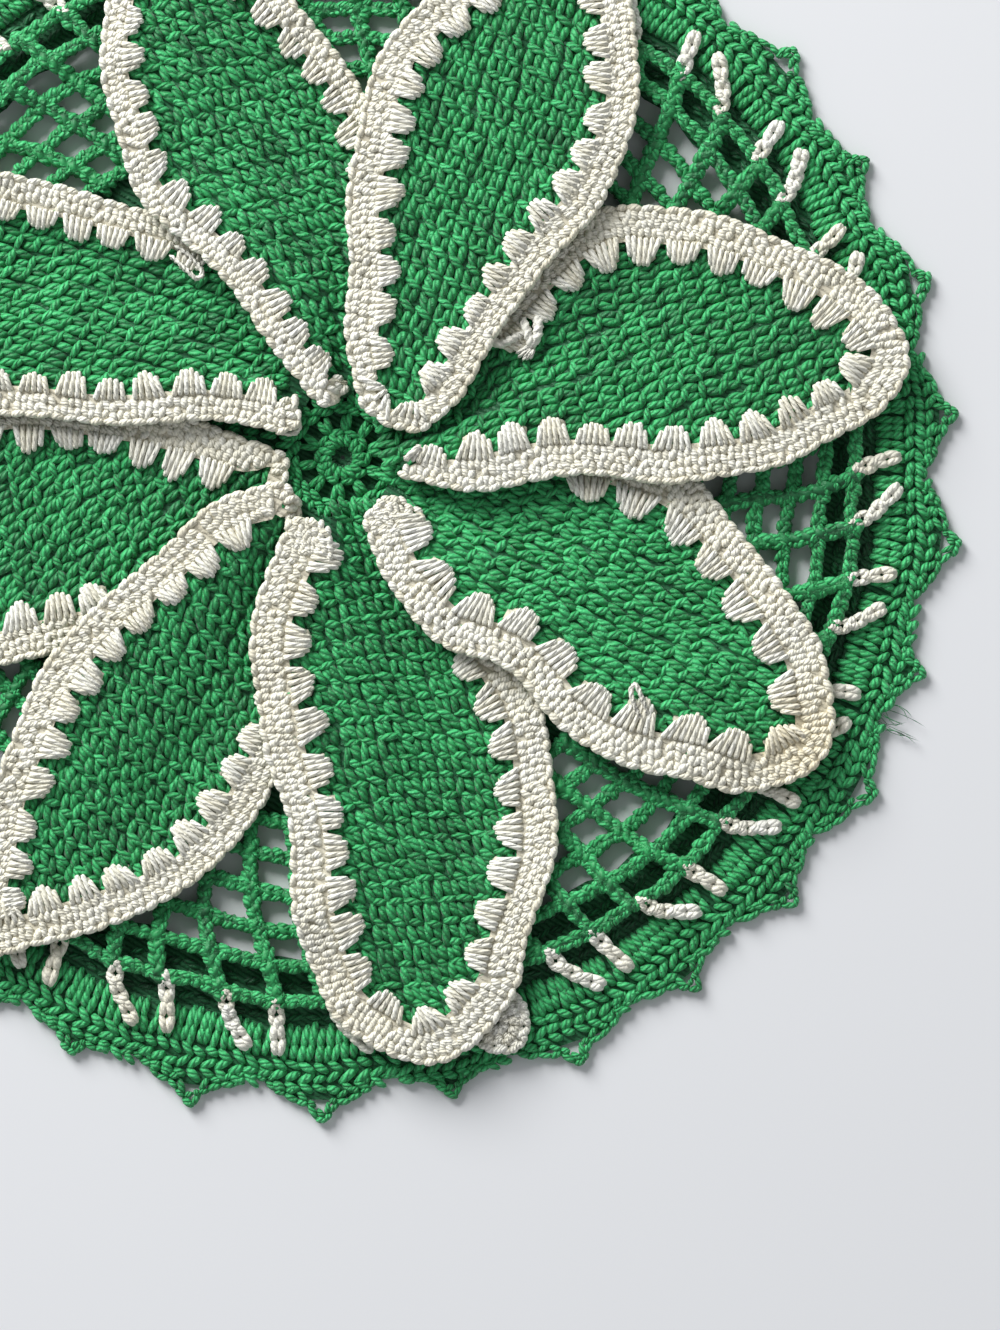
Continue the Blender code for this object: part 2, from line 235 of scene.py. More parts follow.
class PetalShape:
    """A petal's outline, crease and height, with x along its heading and y to the left of it."""

    def __init__(self, petal):
        self.petal = petal
        heading = math.radians(petal.heading)
        self.along = Vector((math.cos(heading), math.sin(heading)))
        self.left = Vector((-self.along.y, self.along.x))
        right = [Vector((share * petal.length, -w)) for share, w in zip(WIDTH_SHARES, petal.right)]
        left = [Vector((share * petal.length, w)) for share, w in zip(WIDTH_SHARES, petal.left)]
        tip = Vector((petal.length, petal.tip_offset))
        self.outline = smooth_through([*right, tip, *reversed(left)], OUTLINE_STEPS)
        self.reach = max(point.x for point in self.outline)
        self.base = self.outline[0].x
        self.rows = [self.base, *SHEET_ROWS, *(self.reach - back for back in TIP_ROWS)]
        self.creases = [self.crease(row) for row in self.rows]
        self.rim = self.with_border(self.evenly(RIM_STEP))
        self.bordered = [point for point, _, _, share in self.rim[::3] if share > 0]

    @property
    def full_base(self):
        """Whether the border covers most of the petal's base."""
        return self.petal.base_share > 0.5

    def with_end(self):
        """The outline with the end of its border beside the rosette added."""
        outline, petal = self.outline, self.petal
        right, left = outline[0], outline[-1]
        if petal.over == "both":
            middle = mix(right, left, 0.5) - Vector((ROUND_END_REACH, 0.0))
            near_right, near_left = (
                mix(middle, end, ROUND_END_SHARE) - Vector((ROUND_END_BULGE, 0.0))
                for end in (right, left))
            return [middle, near_right, *outline, near_left, middle]
        if petal.right_start == 0 and self.full_base:
            return [*(right + Vector(away) for away in BORDER_END), *outline]
        if petal.left_start == 0:
            return [*outline, *(left + Vector((x, -y)) for x, y in reversed(BORDER_END))]
        return outline

    def evenly(self, step):
        """The rim with points a step apart, each with its way inward and how sharply it turns."""
        outline = self.with_end()
        lengths = [0.0]
        for start, end in zip(outline, outline[1:]):
            lengths.append(lengths[-1] + (end - start).length)
        points, k = [], 0
        for n in range(int(lengths[-1] / step) + 1):
            while lengths[k + 1] < n * step:
                k += 1
            share = between(n * step, lengths[k], lengths[k + 1])
            points.append(mix(outline[k], outline[k + 1], share))
        found, near = [], round(TURN_REACH / step)
        for n, point in enumerate(points):
            before, after = points[max(0, n - near)], points[min(len(points) - 1, n + near)]
            run = (after - before).normalized()
            first, last = (point - before), (after - point)
            bend = 0.0
            if first.length > step and last.length > step:
                turn = (first.x * last.y - first.y * last.x) / (first.length * last.length)
                bend = math.asin(max(-1.0, min(1.0, turn))) / (0.5 * (first.length + last.length))
            found.append((point, Vector((-run.y, run.x)), bend))
        return found

    def with_border(self, rim):
        """The rim, with how much of the border is there: 0 where another petal hides it, to 1."""
        tip = max(range(len(rim)), key=lambda n: rim[n][0].x)
        starts = self.petal.right_start, self.petal.left_start
        there = [n for n, (point, *_) in enumerate(rim)
                 if starts[n > tip] in (0, min(point.x, starts[n > tip]))]
        first, last = there[0], there[-1]
        found = []
        for n, (point, inward, bend) in enumerate(rim):
            room = between(min(n - first, last - n) * RIM_STEP, -RIM_STEP, BORDER_END_LENGTH)
            if self.petal.over == "both":
                room = 1.0
            found.append((point, inward, bend, math.sqrt(room * (2.0 - room))))
        return found

    def spaced(self, pitch, depth, start=0.0):
        """Places along the border, a pitch apart when measured at that depth inside the rim."""
        found, length, wanted = [], 0.0, start
        for (point, inward, bend, share), (following, *_) in zip(self.rim, self.rim[1:]):
            if share == 0:
                continue
            step = (following - point).length * max(LEAST_SQUEEZE, 1.0 - depth * bend)
            while wanted < length + step:
                place = mix(point, following, (wanted - length) / step)
                found.append((place, inward, bend, self.deep(point, share)))
                wanted += pitch
            length += step
        return found

    def deep(self, point, share):
        """How deep the border is at this point of the rim."""
        distance = max(point.x, self.base)
        if distance > 0.5 * self.petal.length:
            return share * self.petal.border
        width = self.half_width(distance, 1) + self.half_width(distance, -1)
        return share * min(self.petal.border, self.petal.base_share * width)

    def half_width(self, distance, side):
        """How far the outline is from the heading line, on the left (1) or the right (-1)."""
        points = self.outline if side < 0 else self.outline[::-1]
        distance = max(distance, points[0].x)
        for start, end in zip(points, points[1:]):
            if start.x <= distance <= end.x:
                return side * mix(start.y, end.y, between(distance, start.x, end.x))
        raise ValueError(f"petal {self.petal.name} doesn't reach {distance} mm")

    def crease(self, distance):
        """The two sides of the slope where the petal climbs onto its neighbour, this far out."""
        left, right = self.half_width(distance, 1), self.half_width(distance, -1)
        depth = min(self.petal.border, BORDER_WIDEST_SHARE * (left + right))
        half = min((left + right) / 2 - depth, CREASE_HALF_WIDTH + CREASE_SLOPE * distance)
        return (left - right) / 2 - half, (left - right) / 2 + half

    def lift(self, distance, offset):
        """1 where the petal lies on its neighbour, 0 where it lies on the net."""
        if self.petal.over in ("both", "none"):
            return float(self.petal.over == "both")
        last = len(self.rows) - 1
        after = next((k for k, row in enumerate(self.rows) if row >= distance), last)
        before = max(0, after - 1)
        share = between(distance, self.rows[before], self.rows[after]) if after > before else 0.0
        low, high = (mix(*pair, share) for pair in zip(self.creases[before], self.creases[after]))
        on_left = between(offset, low, high)
        return on_left if self.petal.over == "left" else 1.0 - on_left

    def floor(self, distance, offset):
        """The height of what the petal lies on."""
        fade = 1.0 - between(distance, LIFT_FADE_START, LIFT_FADE_END)
        climb = CLIMB * between(distance, FLOOR_RISE_START, FLOOR_RISE_END)
        return PETAL_FLOOR + climb + PETAL_LIFT * fade * self.lift(distance, offset)

    def in_plan(self, point):
        return self.along * point[0] + self.left * point[1]

    def place(self, point, height):
        """A point of the petal, at that height above what it lies on."""
        plan = self.in_plan(point)
        plan += uneven(plan)
        return Vector((*plan, self.floor(point[0], point[1]) + height + swell(plan)))

    def depth(self, point):
        """How far a point is from the bordered part of the outline."""
        return min((rim - point).length for rim in self.bordered)


SHAPES = {petal.name: PetalShape(petal) for petal in PETALS}


def inside(point, corners):
    found = False
    for start, end in zip(corners, corners[1:] + corners[:1]):
        if (start.y > point.y) != (end.y > point.y):
            if point.x < mix(start.x, end.x, (point.y - start.y) / (end.y - start.y)):
                found = not found
    return found


def covers(names, inset):
    """The plan outlines of these petals, drawn in by the inset."""
    return [[SHAPES[name].in_plan(point + inward * inset)
             for point, inward, *_ in SHAPES[name].rim[::COVER_STEP]] for name in names]


GROUND_COVERS = covers(STACK, GROUND_COVER_INSET)


def under_petal(place):
    """Whether a place on the ground is well covered by a petal."""
    return any(inside(place, corners) for corners in GROUND_COVERS)


# ---------------------------------------------------------------- node trees


class Nodes:
    """Adds nodes to one tree, where an input's value may be another node's output."""

    def __init__(self, tree):
        self.tree = tree

    def put(self, value, socket):
        if isinstance(value, bpy.types.NodeSocket):
            self.tree.links.new(value, socket)
        else:
            socket.default_value = value

    def add(self, kind, values=(), **settings):
        node = self.tree.nodes.new(kind)
        for setting, value in settings.items():
            setattr(node, setting, value)
        for socket, value in dict(values).items():
            self.put(value, node.inputs[socket])
        return node

    def maths(self, operation, *values):
        node = self.add("ShaderNodeMath", dict(enumerate(values)), operation=operation)
        return node.outputs[0]

    def vector_maths(self, operation, *values):
        node = self.add("ShaderNodeVectorMath", dict(enumerate(values)), operation=operation)
        return node.outputs[0]

    def object_place(self):
        return self.add("ShaderNodeTexCoord").outputs["Object"]

    def noise(self, vector, scale, detail):
        return self.add("ShaderNodeTexNoise",
                        {"Vector": vector, "Scale": scale, "Detail": detail}).outputs[0]

    def map_range(self, values, **settings):
        return self.add("ShaderNodeMapRange", values, **settings).outputs[0]

    def blend(self, share, first, second, **settings):
        return self.add("ShaderNodeMix", {0: share, 6: first, 7: second}, data_type="RGBA",
                        **settings).outputs[2]

    def named(self, name, kind):
        return self.add("GeometryNodeInputNamedAttribute", {"Name": name},
                        data_type=kind).outputs[0]

    def chance(self, low, high, seed):
        return self.add("FunctionNodeRandomValue", {0: low, 1: high, "Seed": seed},
                        data_type="FLOAT_VECTOR").outputs[0]

    def captured(self, geometry, label, value):
        """The geometry and the value as it is there, which later nodes can still read."""
        node = self.add("GeometryNodeCaptureAttribute")
        node.capture_items.new("FLOAT", label)
        self.put(geometry, node.inputs[0])
        self.put(value, node.inputs[1])
        return node.outputs[0], node.outputs[1]

    def finish(self, geometry, material):
        """The geometry with one material, as the tree's result."""
        node = self.add("GeometryNodeSetMaterial", {"Geometry": geometry, "Material": material})
        self.tree.links.new(node.outputs[0], self.result.inputs[0])


def new_tree(name, kind, inputs, outputs):
    """A new tree's nodes, and the outputs of its input node."""
    tree = bpy.data.node_groups.new(name, kind)
    for way, sockets in (("INPUT", inputs), ("OUTPUT", outputs)):
        for label, socket_type, *default in sockets:
            socket = tree.interface.new_socket(
                label, in_out=way, socket_type="NodeSocket" + socket_type)
            if default:
                socket.default_value = default[0]
    nodes = Nodes(tree)
    given = nodes.add("NodeGroupInput")
    nodes.result = nodes.add("NodeGroupOutput")
    return nodes, given.outputs


def stitches_tree():
    """Puts one strand on each point, turned and sized by the point's attributes."""
    nodes, given = new_tree(
        "Worked stitches", "GeometryNodeTree",
        [("Geometry", "Geometry"), ("Strand", "Object"), ("Cotton", "Material"),
         ("Unevenness", "Float", 0.12), ("Seed", "Int", 0)],
        [("Geometry", "Geometry")])
    unevenness, seed = given["Unevenness"], given["Seed"]
    low = nodes.maths("MULTIPLY", unevenness, -1.0)
    spin = nodes.chance(low, unevenness, seed)
    turn = nodes.vector_maths("ADD", nodes.named("turn", "FLOAT_VECTOR"), spin)
    rotation = nodes.add("FunctionNodeEulerToRotation", {0: turn}).outputs[0]
    size = nodes.named("size", "FLOAT_VECTOR")
    other_seed = nodes.maths("ADD", seed, 7.0)
    most = nodes.maths("ADD", unevenness, 1.0)
    least = nodes.maths("SUBTRACT", 1.0, unevenness)
    scale = nodes.vector_maths("MULTIPLY", size, nodes.chance(least, most, other_seed))
    strand = nodes.add("GeometryNodeObjectInfo", {"Object": given["Strand"]}).outputs["Geometry"]
    placed = nodes.add("GeometryNodeInstanceOnPoints", {
        "Points": given["Geometry"], "Instance": strand, "Rotation": rotation, "Scale": scale})
    real = nodes.add("GeometryNodeRealizeInstances", {0: placed.outputs[0]})
    nodes.finish(real.outputs[0], given["Cotton"])


def cords_tree():
    """Sweeps a lobed profile along each line, and turns it as it goes, as in twisted yarns."""
    nodes, given = new_tree(
        "Twisted cords", "GeometryNodeTree",
        [("Geometry", "Geometry"), ("Cotton", "Material"), ("Turns per Metre", "Float", 280.0),
         ("Lobes", "Float", 2.0), ("Lobe Depth", "Float", 0.3), ("Sides", "Int", 12)],
        [("Geometry", "Geometry")])
    maths, sides = nodes.maths, given["Sides"]

    # The profile: a closed line of points round the origin.
    line = nodes.add("GeometryNodeMeshLine", {"Count": maths("ADD", sides, 1.0)})
    index = nodes.add("GeometryNodeInputIndex").outputs[0]
    angle = maths("MULTIPLY", maths("DIVIDE", index, sides), math.tau)
    wave = maths("COSINE", maths("MULTIPLY", angle, given["Lobes"]))
    radius = maths("MULTIPLY_ADD", wave, given["Lobe Depth"], 1.0)
    round_point = nodes.add("ShaderNodeCombineXYZ", {
        0: maths("MULTIPLY", radius, maths("COSINE", angle)),
        1: maths("MULTIPLY", radius, maths("SINE", angle))}).outputs[0]
    bent = nodes.add("GeometryNodeSetPosition", {"Geometry": line.outputs[0],
                                                 "Position": round_point})
    profile = nodes.add("GeometryNodeMeshToCurve", {0: bent.outputs[0]}).outputs[0]
    index = nodes.add("GeometryNodeInputIndex").outputs[0]
    profile, around = nodes.captured(profile, "around", maths("DIVIDE", index, sides))

    # The line that it follows, and the cord with its UV map.
    curve = nodes.add("GeometryNodeMeshToCurve", {0: given["Geometry"]})
    length = nodes.add("GeometryNodeSplineParameter").outputs["Length"]
    turns = maths("MULTIPLY_ADD", length, given["Turns per Metre"], nodes.named("phase", "FLOAT"))
    tilted = nodes.add("GeometryNodeSetCurveTilt", {
        "Curve": curve.outputs[0], "Tilt": maths("MULTIPLY", turns, math.tau)}).outputs[0]
    tilted, along = nodes.captured(tilted, "along", maths("MULTIPLY", length, 1.0 / MM))
    swept = nodes.add("GeometryNodeCurveToMesh", {
        0: tilted, 1: profile, "Scale": nodes.named("thick", "FLOAT")})
    flat = nodes.add("ShaderNodeCombineXYZ", {0: along, 1: around})
    mapped = nodes.add("GeometryNodeStoreNamedAttribute", {
        "Geometry": swept.outputs[0], "Name": "UVMap", "Value": flat.outputs[0]},
        data_type="FLOAT2", domain="CORNER")
    welded = nodes.add("GeometryNodeMergeByDistance", {
        "Geometry": mapped.outputs[0], "Distance": 0.01 * MM})
    smooth = nodes.add("GeometryNodeSetShadeSmooth", {0: welded.outputs[0]})
    nodes.finish(smooth.outputs[0], given["Cotton"])


FIBRE_WANDER, FIBRE_HEIGHT, GROOVE_POWER = 0.5, 1.1, 1.6
PATCH_DEPTH = 0.7


def twist_group():
    """Plies that wind round a strand, from its UV map, with fine fibres over them."""
    nodes, given = new_tree(
        "Plied twist", "ShaderNodeTree",
        [("Turns", "Float", 0.8), ("Plies", "Float", 3.0), ("Fibre Scale", "Float", 1700.0)],
        [("Height", "Float"), ("Groove", "Float")])
    maths = nodes.maths
    flat = nodes.add("ShaderNodeUVMap", uv_map="UVMap").outputs[0]
    along, around, _ = nodes.add("ShaderNodeSeparateXYZ", {0: flat}).outputs
    fibres = nodes.noise(nodes.object_place(), given["Fibre Scale"], 2.0)
    phase = maths("MULTIPLY_ADD", along, given["Turns"], maths("MULTIPLY", around, given["Plies"]))
    phase = maths("MULTIPLY_ADD", fibres, FIBRE_WANDER, phase)
    ridge = maths("ABSOLUTE", maths("SINE", maths("MULTIPLY", phase, math.pi)))
    nodes.put(maths("MULTIPLY_ADD", fibres, FIBRE_HEIGHT, ridge), nodes.result.inputs["Height"])
    groove = maths("POWER", maths("SUBTRACT", 1.0, ridge), GROOVE_POWER)
    nodes.put(groove, nodes.result.inputs["Groove"])


def colour_group():
    """Cotton that varies by strand and by place, with painted shade in its grooves."""
    nodes, given = new_tree(
        "Cotton colour", "ShaderNodeTree",
        [("Colour", "Color", (0.5, 0.5, 0.5, 1.0)), ("Dark Colour", "Color", (0.3, 0.3, 0.3, 1.0)),
         ("Light Colour", "Color", (0.8, 0.8, 0.8, 1.0)), ("Groove", "Float", 0.0),
         ("Groove Shade", "Float", 0.35), ("Patch Scale", "Float", 60.0)],
        [("Colour", "Color")])
    maths = nodes.maths
    shade = nodes.add("ShaderNodeAttribute", attribute_name="shade").outputs["Fac"]
    patches = nodes.noise(nodes.object_place(), given["Patch Scale"], 3.0)
    level = maths("ADD", shade, maths("MULTIPLY_ADD", patches, PATCH_DEPTH, -PATCH_DEPTH / 2))
    lower = nodes.map_range({"Value": level, "From Max": 0.5})
    upper = nodes.map_range({"Value": level, "From Min": 0.5})
    dark = nodes.blend(lower, given["Dark Colour"], given["Colour"])
    light = nodes.blend(upper, dark, given["Light Colour"])
    shadow = maths("SUBTRACT", 1.0, maths("MULTIPLY", given["Groove"], given["Groove Shade"]))
    final = nodes.blend(1.0, light, shadow, blend_type="MULTIPLY")
    nodes.put(final, nodes.result.inputs["Colour"])


Stain = namedtuple("Stain", "centre reach tint")
BUMP_HEIGHT = 0.22
SHEEN, SHEEN_ROUGHNESS = 0.12, 0.45
GROOVE_ROUGHNESS = 0.15


def cotton(name, tones, looks, turns=0.8, groove_shade=0.35, relief=1.0, stain=None):
    """A yarn of plied cotton. Tones are its middle, dark and light colours."""
    material = bpy.data.materials.new(name)
    material.use_nodes = True
    nodes = Nodes(material.node_tree)
    surface = nodes.tree.nodes["Principled BSDF"].inputs
    twisted = nodes.add("ShaderNodeGroup", node_tree=bpy.data.node_groups["Plied twist"])
    nodes.put(turns, twisted.inputs["Turns"])
    height, groove = twisted.outputs
    shade = nodes.add("ShaderNodeGroup", node_tree=bpy.data.node_groups["Cotton colour"])
    for label, tone in zip(("Colour", "Dark Colour", "Light Colour"), tones):
        nodes.put((*tone, 1.0), shade.inputs[label])
    nodes.put(groove_shade, shade.inputs["Groove Shade"])
    nodes.put(groove, shade.inputs["Groove"])
    colour = shade.outputs["Colour"]
    if stain:
        away = nodes.add("ShaderNodeVectorMath", {0: nodes.object_place(), 1: stain.centre},
                         operation="DISTANCE").outputs["Value"]
        amount = nodes.map_range(
            {"Value": away, "From Min": stain.reach, "From Max": 0.2 * stain.reach, "To Max": 0.5},
            interpolation_type="SMOOTHSTEP")
        colour = nodes.blend(amount, colour, (*stain.tint, 1.0), blend_type="MULTIPLY")
    nodes.put(colour, surface["Base Color"])
    rough = nodes.map_range({
        "Value": height, "From Max": 1.5, "To Max": looks.roughness,
        "To Min": min(1.0, looks.roughness + GROOVE_ROUGHNESS)})
    nodes.put(rough, surface["Roughness"])
    bump = nodes.add("ShaderNodeBump", {
        "Height": height, "Strength": relief, "Distance": BUMP_HEIGHT * MM})
    nodes.put(bump.outputs[0], surface["Normal"])
    nodes.put(0.0, surface["Metallic"])
    nodes.put(SHEEN, surface["Sheen Weight"])
    nodes.put(SHEEN_ROUGHNESS, surface["Sheen Roughness"])


# ---------------------------------------------------------------- strands and cords

# A strand's rings: the place of each along it, its size and how far it is tucked down.
STRAND_SIDES = 5
STRAND_RINGS = ((-0.42, 0.62, -0.26), (-0.16, 1.0, 0.0), (0.16, 1.0, 0.0), (0.42, 0.62, -0.26))
BLUNT_RINGS = ((-0.47, 0.72, -0.18), (-0.38, 1.0, 0.0), (0.38, 1.0, 0.0), (0.47, 0.72, -0.18))
STRAND_TIP_DROP = 0.42
STRAND_TIP_MAP = 0.08
STRAND_LENGTH = 3.0

# No yarn goes lower or is thinner than this, and a face this steep still counts as a sheet's top.
LOWEST = 0.02
THINNEST = 0.001
UPPER_SIDE = 0.3


def strand_object(name, rings):
    """One strand of yarn, 1 long, 1 wide and 1 high, with both ends tucked down."""
    points, faces, spots = [], [], []
    for x, size, rise in rings:
        for k in range(STRAND_SIDES):
            angle = (k + 0.25) * math.tau / STRAND_SIDES
            points.append((x, 0.5 * size * math.cos(angle), 0.5 * size * math.sin(angle) + rise))
    for ring in range(len(rings) - 1):
        near, far = ring * STRAND_SIDES, (ring + 1) * STRAND_SIDES
        u, v = rings[ring][0] + 0.5, rings[ring + 1][0] + 0.5
        for k in range(STRAND_SIDES):
            after = (k + 1) % STRAND_SIDES
            faces.append((near + k, near + after, far + after, far + k))
            spots += [(u, k), (u, k + 1), (v, k + 1), (v, k)]
    last, tip = (len(rings) - 1) * STRAND_SIDES, len(points)
    points += [(-0.5, 0.0, -STRAND_TIP_DROP), (0.5, 0.0, -STRAND_TIP_DROP)]
    for k in range(STRAND_SIDES):
        after = (k + 1) % STRAND_SIDES
        faces += [(after, k, tip), (last + k, last + after, tip + 1)]
        spots += [(STRAND_TIP_MAP, k + 1), (STRAND_TIP_MAP, k), (0.0, k + 0.5),
                  (1.0 - STRAND_TIP_MAP, k), (1.0 - STRAND_TIP_MAP, k + 1), (1.0, k + 0.5)]
    mesh = bpy.data.meshes.new(name)
    mesh.from_pydata(points, [], faces)
    mesh.uv_layers.new(name="UVMap")
    for spot, (u, v) in zip(mesh.uv_layers[0].uv, spots):
        spot.vector = (u * STRAND_LENGTH, v / STRAND_SIDES)
    mesh.shade_smooth()
    finished(name, mesh)


class Handwork:
    """Yarn to be worked by hand, with chance differences that are the same each time."""

    def __init__(self, seed):
        self.seed = seed
        self.chance = random.Random(seed)
        self.points = []

    def around(self, amount):
        return self.chance.uniform(-amount, amount)

    def some(self, low, high):
        return self.chance.uniform(low, high)


class Stitches(Handwork):
    """Strands: where each one starts and ends, how thick it is and how light."""

    def __init__(self, seed):
        super().__init__(seed)
        self.turns, self.sizes, self.shades = [], [], []

    def add(self, start, end, width, high, shade=None):
        run = end - start
        self.points.append(world((start + end) / 2))
        self.turns.append((0.0, -math.asin(run.z / run.length), math.atan2(run.y, run.x)))
        self.sizes.append((run.length * MM, width * MM, high * MM))
        self.shades.append(self.some(0.2, 0.8) if shade is None else shade)

    def lay(self, start, end, width, high, shade=None):
        """Add a strand on the ground, between two places given as radius, angle and height."""
        self.add(on_ground(*start), on_ground(*end), width, high, shade)

    def lay_across(self, radius, angle, turn, tilt, height, width, high, shade=None):
        """Add a strand that turns round the rosette to each side, with its far end tilted out."""
        self.lay((radius - tilt, angle - turn, height), (radius + tilt, angle + turn, height),
                 width, high, shade)


class Cords(Handwork):
    """Lines that cords follow, with the radius, turn and shade of each."""

    def __init__(self, seed):
        super().__init__(seed)
        self.runs, self.thick, self.phase, self.shade = [], [], [], []

    def add(self, line, radii, shade):
        """Radii is one number, or one for each point. The ends are drawn in to a point."""
        first, last = len(self.points), len(line) - 1
        phase = self.chance.random()
        for n, point in enumerate(line):
            radius = radii if isinstance(radii, float) else radii[n]
            self.points.append(world(point))
            self.thick.append(max(radius if 0 < n < last else 0.0, THINNEST) * MM)
            self.phase.append(phase)
            self.shade.append(shade)
        self.runs += [(n, n + 1) for n in range(first, first + last)]


def finished(name, mesh):
    """A finished piece: a plain mesh at the origin."""
    piece = bpy.data.objects.new(name, mesh)
    bpy.context.scene.collection.objects.link(piece)
    return piece


def grown(name, mesh, attributes, tree, inputs):
    """The plain mesh that a node tree makes from points or lines with these attributes."""
    for label, (kind, values) in attributes.items():
        layer = mesh.attributes.new(label, kind, "POINT")
        if kind == "FLOAT_VECTOR":
            layer.data.foreach_set("vector", [x for value in values for x in value])
        else:
            layer.data.foreach_set("value", values)
    source = finished(name + "_lines", mesh)
    modifier = source.modifiers.new(tree, "NODES")
    modifier.node_group = bpy.data.node_groups[tree]
    sockets = {socket.name: socket.identifier
               for socket in modifier.node_group.interface.items_tree if socket.in_out == "INPUT"}
    for label, value in inputs.items():
        modifier[sockets[label]] = value
    graph = bpy.context.evaluated_depsgraph_get()
    result = bpy.data.meshes.new_from_object(
        source.evaluated_get(graph), preserve_all_data_layers=True, depsgraph=graph)
    bpy.data.objects.remove(source)
    for label in attributes:
        if label != "shade" and label in result.attributes:
            result.attributes.remove(result.attributes[label])
    result.materials.clear()
    result.materials.append(inputs["Cotton"])
    result.polygons.foreach_set("material_index", [0] * len(result.polygons))
    result.name = name
    for vertex in result.vertices:
        vertex.co.z = max(LOWEST * MM, vertex.co.z)
    return finished(name, result)


def work(name, stitches, material, unevenness, strand="strand"):
    """The piece that these stitches make, with one strand for each."""
    mesh = bpy.data.meshes.new(name + "_points")
    mesh.from_pydata(stitches.points, [], [])
    attributes = {"turn": ("FLOAT_VECTOR", stitches.turns),
                  "size": ("FLOAT_VECTOR", stitches.sizes),
                  "shade": ("FLOAT", stitches.shades)}
    return grown(name, mesh, attributes, "Worked stitches", {
        "Strand": bpy.data.objects[strand], "Cotton": material, "Unevenness": unevenness,
        "Seed": stitches.seed})


def twist(name, cords, material, turns, depth, sides):
    """The piece that these cords make, with turns a metre and a depth between their two yarns."""
    mesh = bpy.data.meshes.new(name + "_lines")
    mesh.from_pydata(cords.points, cords.runs, [])
    attributes = {"thick": ("FLOAT", cords.thick), "phase": ("FLOAT", cords.phase),
                  "shade": ("FLOAT", cords.shade)}
    return grown(name, mesh, attributes, "Twisted cords", {
        "Cotton": material, "Turns per Metre": turns, "Lobe Depth": depth, "Sides": sides})


def slab(name, columns, rows, place, thickness, material, closed=False, shade=0.5):
    """A thin closed sheet from a grid: place(column, row) is the low side, in millimetres."""
    lines = columns + (not closed)
    points = []
    for column in range(lines):
        for row in range(rows + 1):
            low = Vector(place(column, row))
            points += [world(low), world(low + up(thickness))]

    def corner(column, row, top=0):
        return 2 * (column % lines * (rows + 1) + row) + top

    faces = []
    for column in range(columns):
        for row in range(rows):
            square = [(column, row), (column + 1, row), (column + 1, row + 1), (column, row + 1)]
            faces.append([corner(*at, 1) for at in square])
            faces.append([corner(*at) for at in reversed(square)])
    sides = [side for n in range(columns)
             for side in (((n, 0), (n + 1, 0)), ((n + 1, rows), (n, rows)))]
    if not closed:
        sides += [side for n in range(rows)
                  for side in (((0, n + 1), (0, n)), ((columns, n), (columns, n + 1)))]
    faces += [[corner(*start), corner(*end), corner(*end, 1), corner(*start, 1)]
              for start, end in sides]
    mesh = bpy.data.meshes.new(name)
    mesh.from_pydata(points, [], faces)
    mesh.materials.append(material)
    mesh.shade_flat()
    layer = mesh.uv_layers.new(name="UVMap")
    for loop in mesh.loops:
        at = mesh.vertices[loop.vertex_index].co / MM
        layer.uv[loop.index].vector = (at.x * 0.7 + at.y * 0.2, at.y * 0.25)
    mesh.attributes.new("shade", "FLOAT", "POINT").data.foreach_set("value", [shade] * len(points))
    return finished(name, mesh)


def plan_area(mesh):
    """The area of a thin sheet's upper side, in square metres."""
    return sum(face.area for face in mesh.polygons if face.normal.z > UPPER_SIDE)


def dyed(colour):
    return bpy.data.materials[colour + "_yarn"]


def stand_for(node, slot, *pieces):
    """Put pieces in the place of a node of the frame, on its body, and hide the node. The slot is
    not used.
    """
    for piece in pieces:
        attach(piece, BODY)
        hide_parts(node)


# ---------------------------------------------------------------- settings


def length_setting(name, description, default, least, most):
    return FloatProperty(name=name, description=description, default=default, min=least, max=most,
                         precision=5, unit="LENGTH")


def share_setting(name, description, default, most):
    return FloatProperty(name=name, description=description, default=default, min=0.0, max=most,
                         subtype="FACTOR")


def colour_setting(name, description, default):
    return FloatVectorProperty(name=name, description=description, default=default, size=3,
                               min=0.0, max=1.0, subtype="COLOR")


class DoilySizes(bpy.types.PropertyGroup):
    yarn_width: length_setting("Yarn Width", "How wide one strand of the yarn is",
                               0.00095, 0.0004, 0.002)
    stitch_across: length_setting("Stitch Across",
                                  "From one petal stitch to the next, across the petal",
                                  0.00285, 0.0015, 0.006)
    stitch_along: length_setting("Stitch Along", "From one row of petal stitches to the next",
                                 0.00335, 0.0015, 0.006)
    unevenness: share_setting("Unevenness",
                              "How far strands differ from each other in turn and size", 0.12, 0.5)
    seed: IntProperty(name="Seed", description="Start of the random differences between strands",
                      default=4, min=0)


class DoilyColours(bpy.types.PropertyGroup):
    green: colour_setting("Green", "Middle tone of the green yarn", (0.019, 0.325, 0.088))
    # The dark green is both the darkest green strands and the base of the painted shade on the
    # sheets under the stitches and on the backing ring.
    dark_green: colour_setting("Dark Green", "Backing ring and the depths between green strands",
                               (0.012, 0.125, 0.044))
    light_green: colour_setting("Light Green", "Lightest strands of the green yarn",
                                (0.050, 0.520, 0.168))
    cream: colour_setting("Cream", "Middle tone of the cream yarn", (0.800, 0.770, 0.635))
    # The dark cream is both the darkest cream strands and the painted shade on the band under the
    # border rows and on the lobes' fillings.
    darkest_cream_and_shade: colour_setting("Dark Cream", "Darkest strands of the cream yarn",
                               (0.650, 0.605, 0.470))
    light_cream: colour_setting("Light Cream", "Lightest strands of the cream yarn",
                                (0.870, 0.865, 0.790))
    roughness: share_setting("Roughness", "Roughness on the ridges of the yarn", 0.55, 1.0)


class StageLook(bpy.types.PropertyGroup):
    surface: colour_setting("Surface", "Colour of the table", (0.765, 0.775, 0.795))
    key_power: FloatProperty(
        name="Key Light", description="Power of the soft light from the upper left",
        default=50.0, min=0.0, unit="POWER")
    fill: FloatProperty(
        name="Fill",
        description="Strength of the light from all round, which is less from straight above",
        default=0.62, min=0.0, max=5.0)


# ---------------------------------------------------------------- pieces

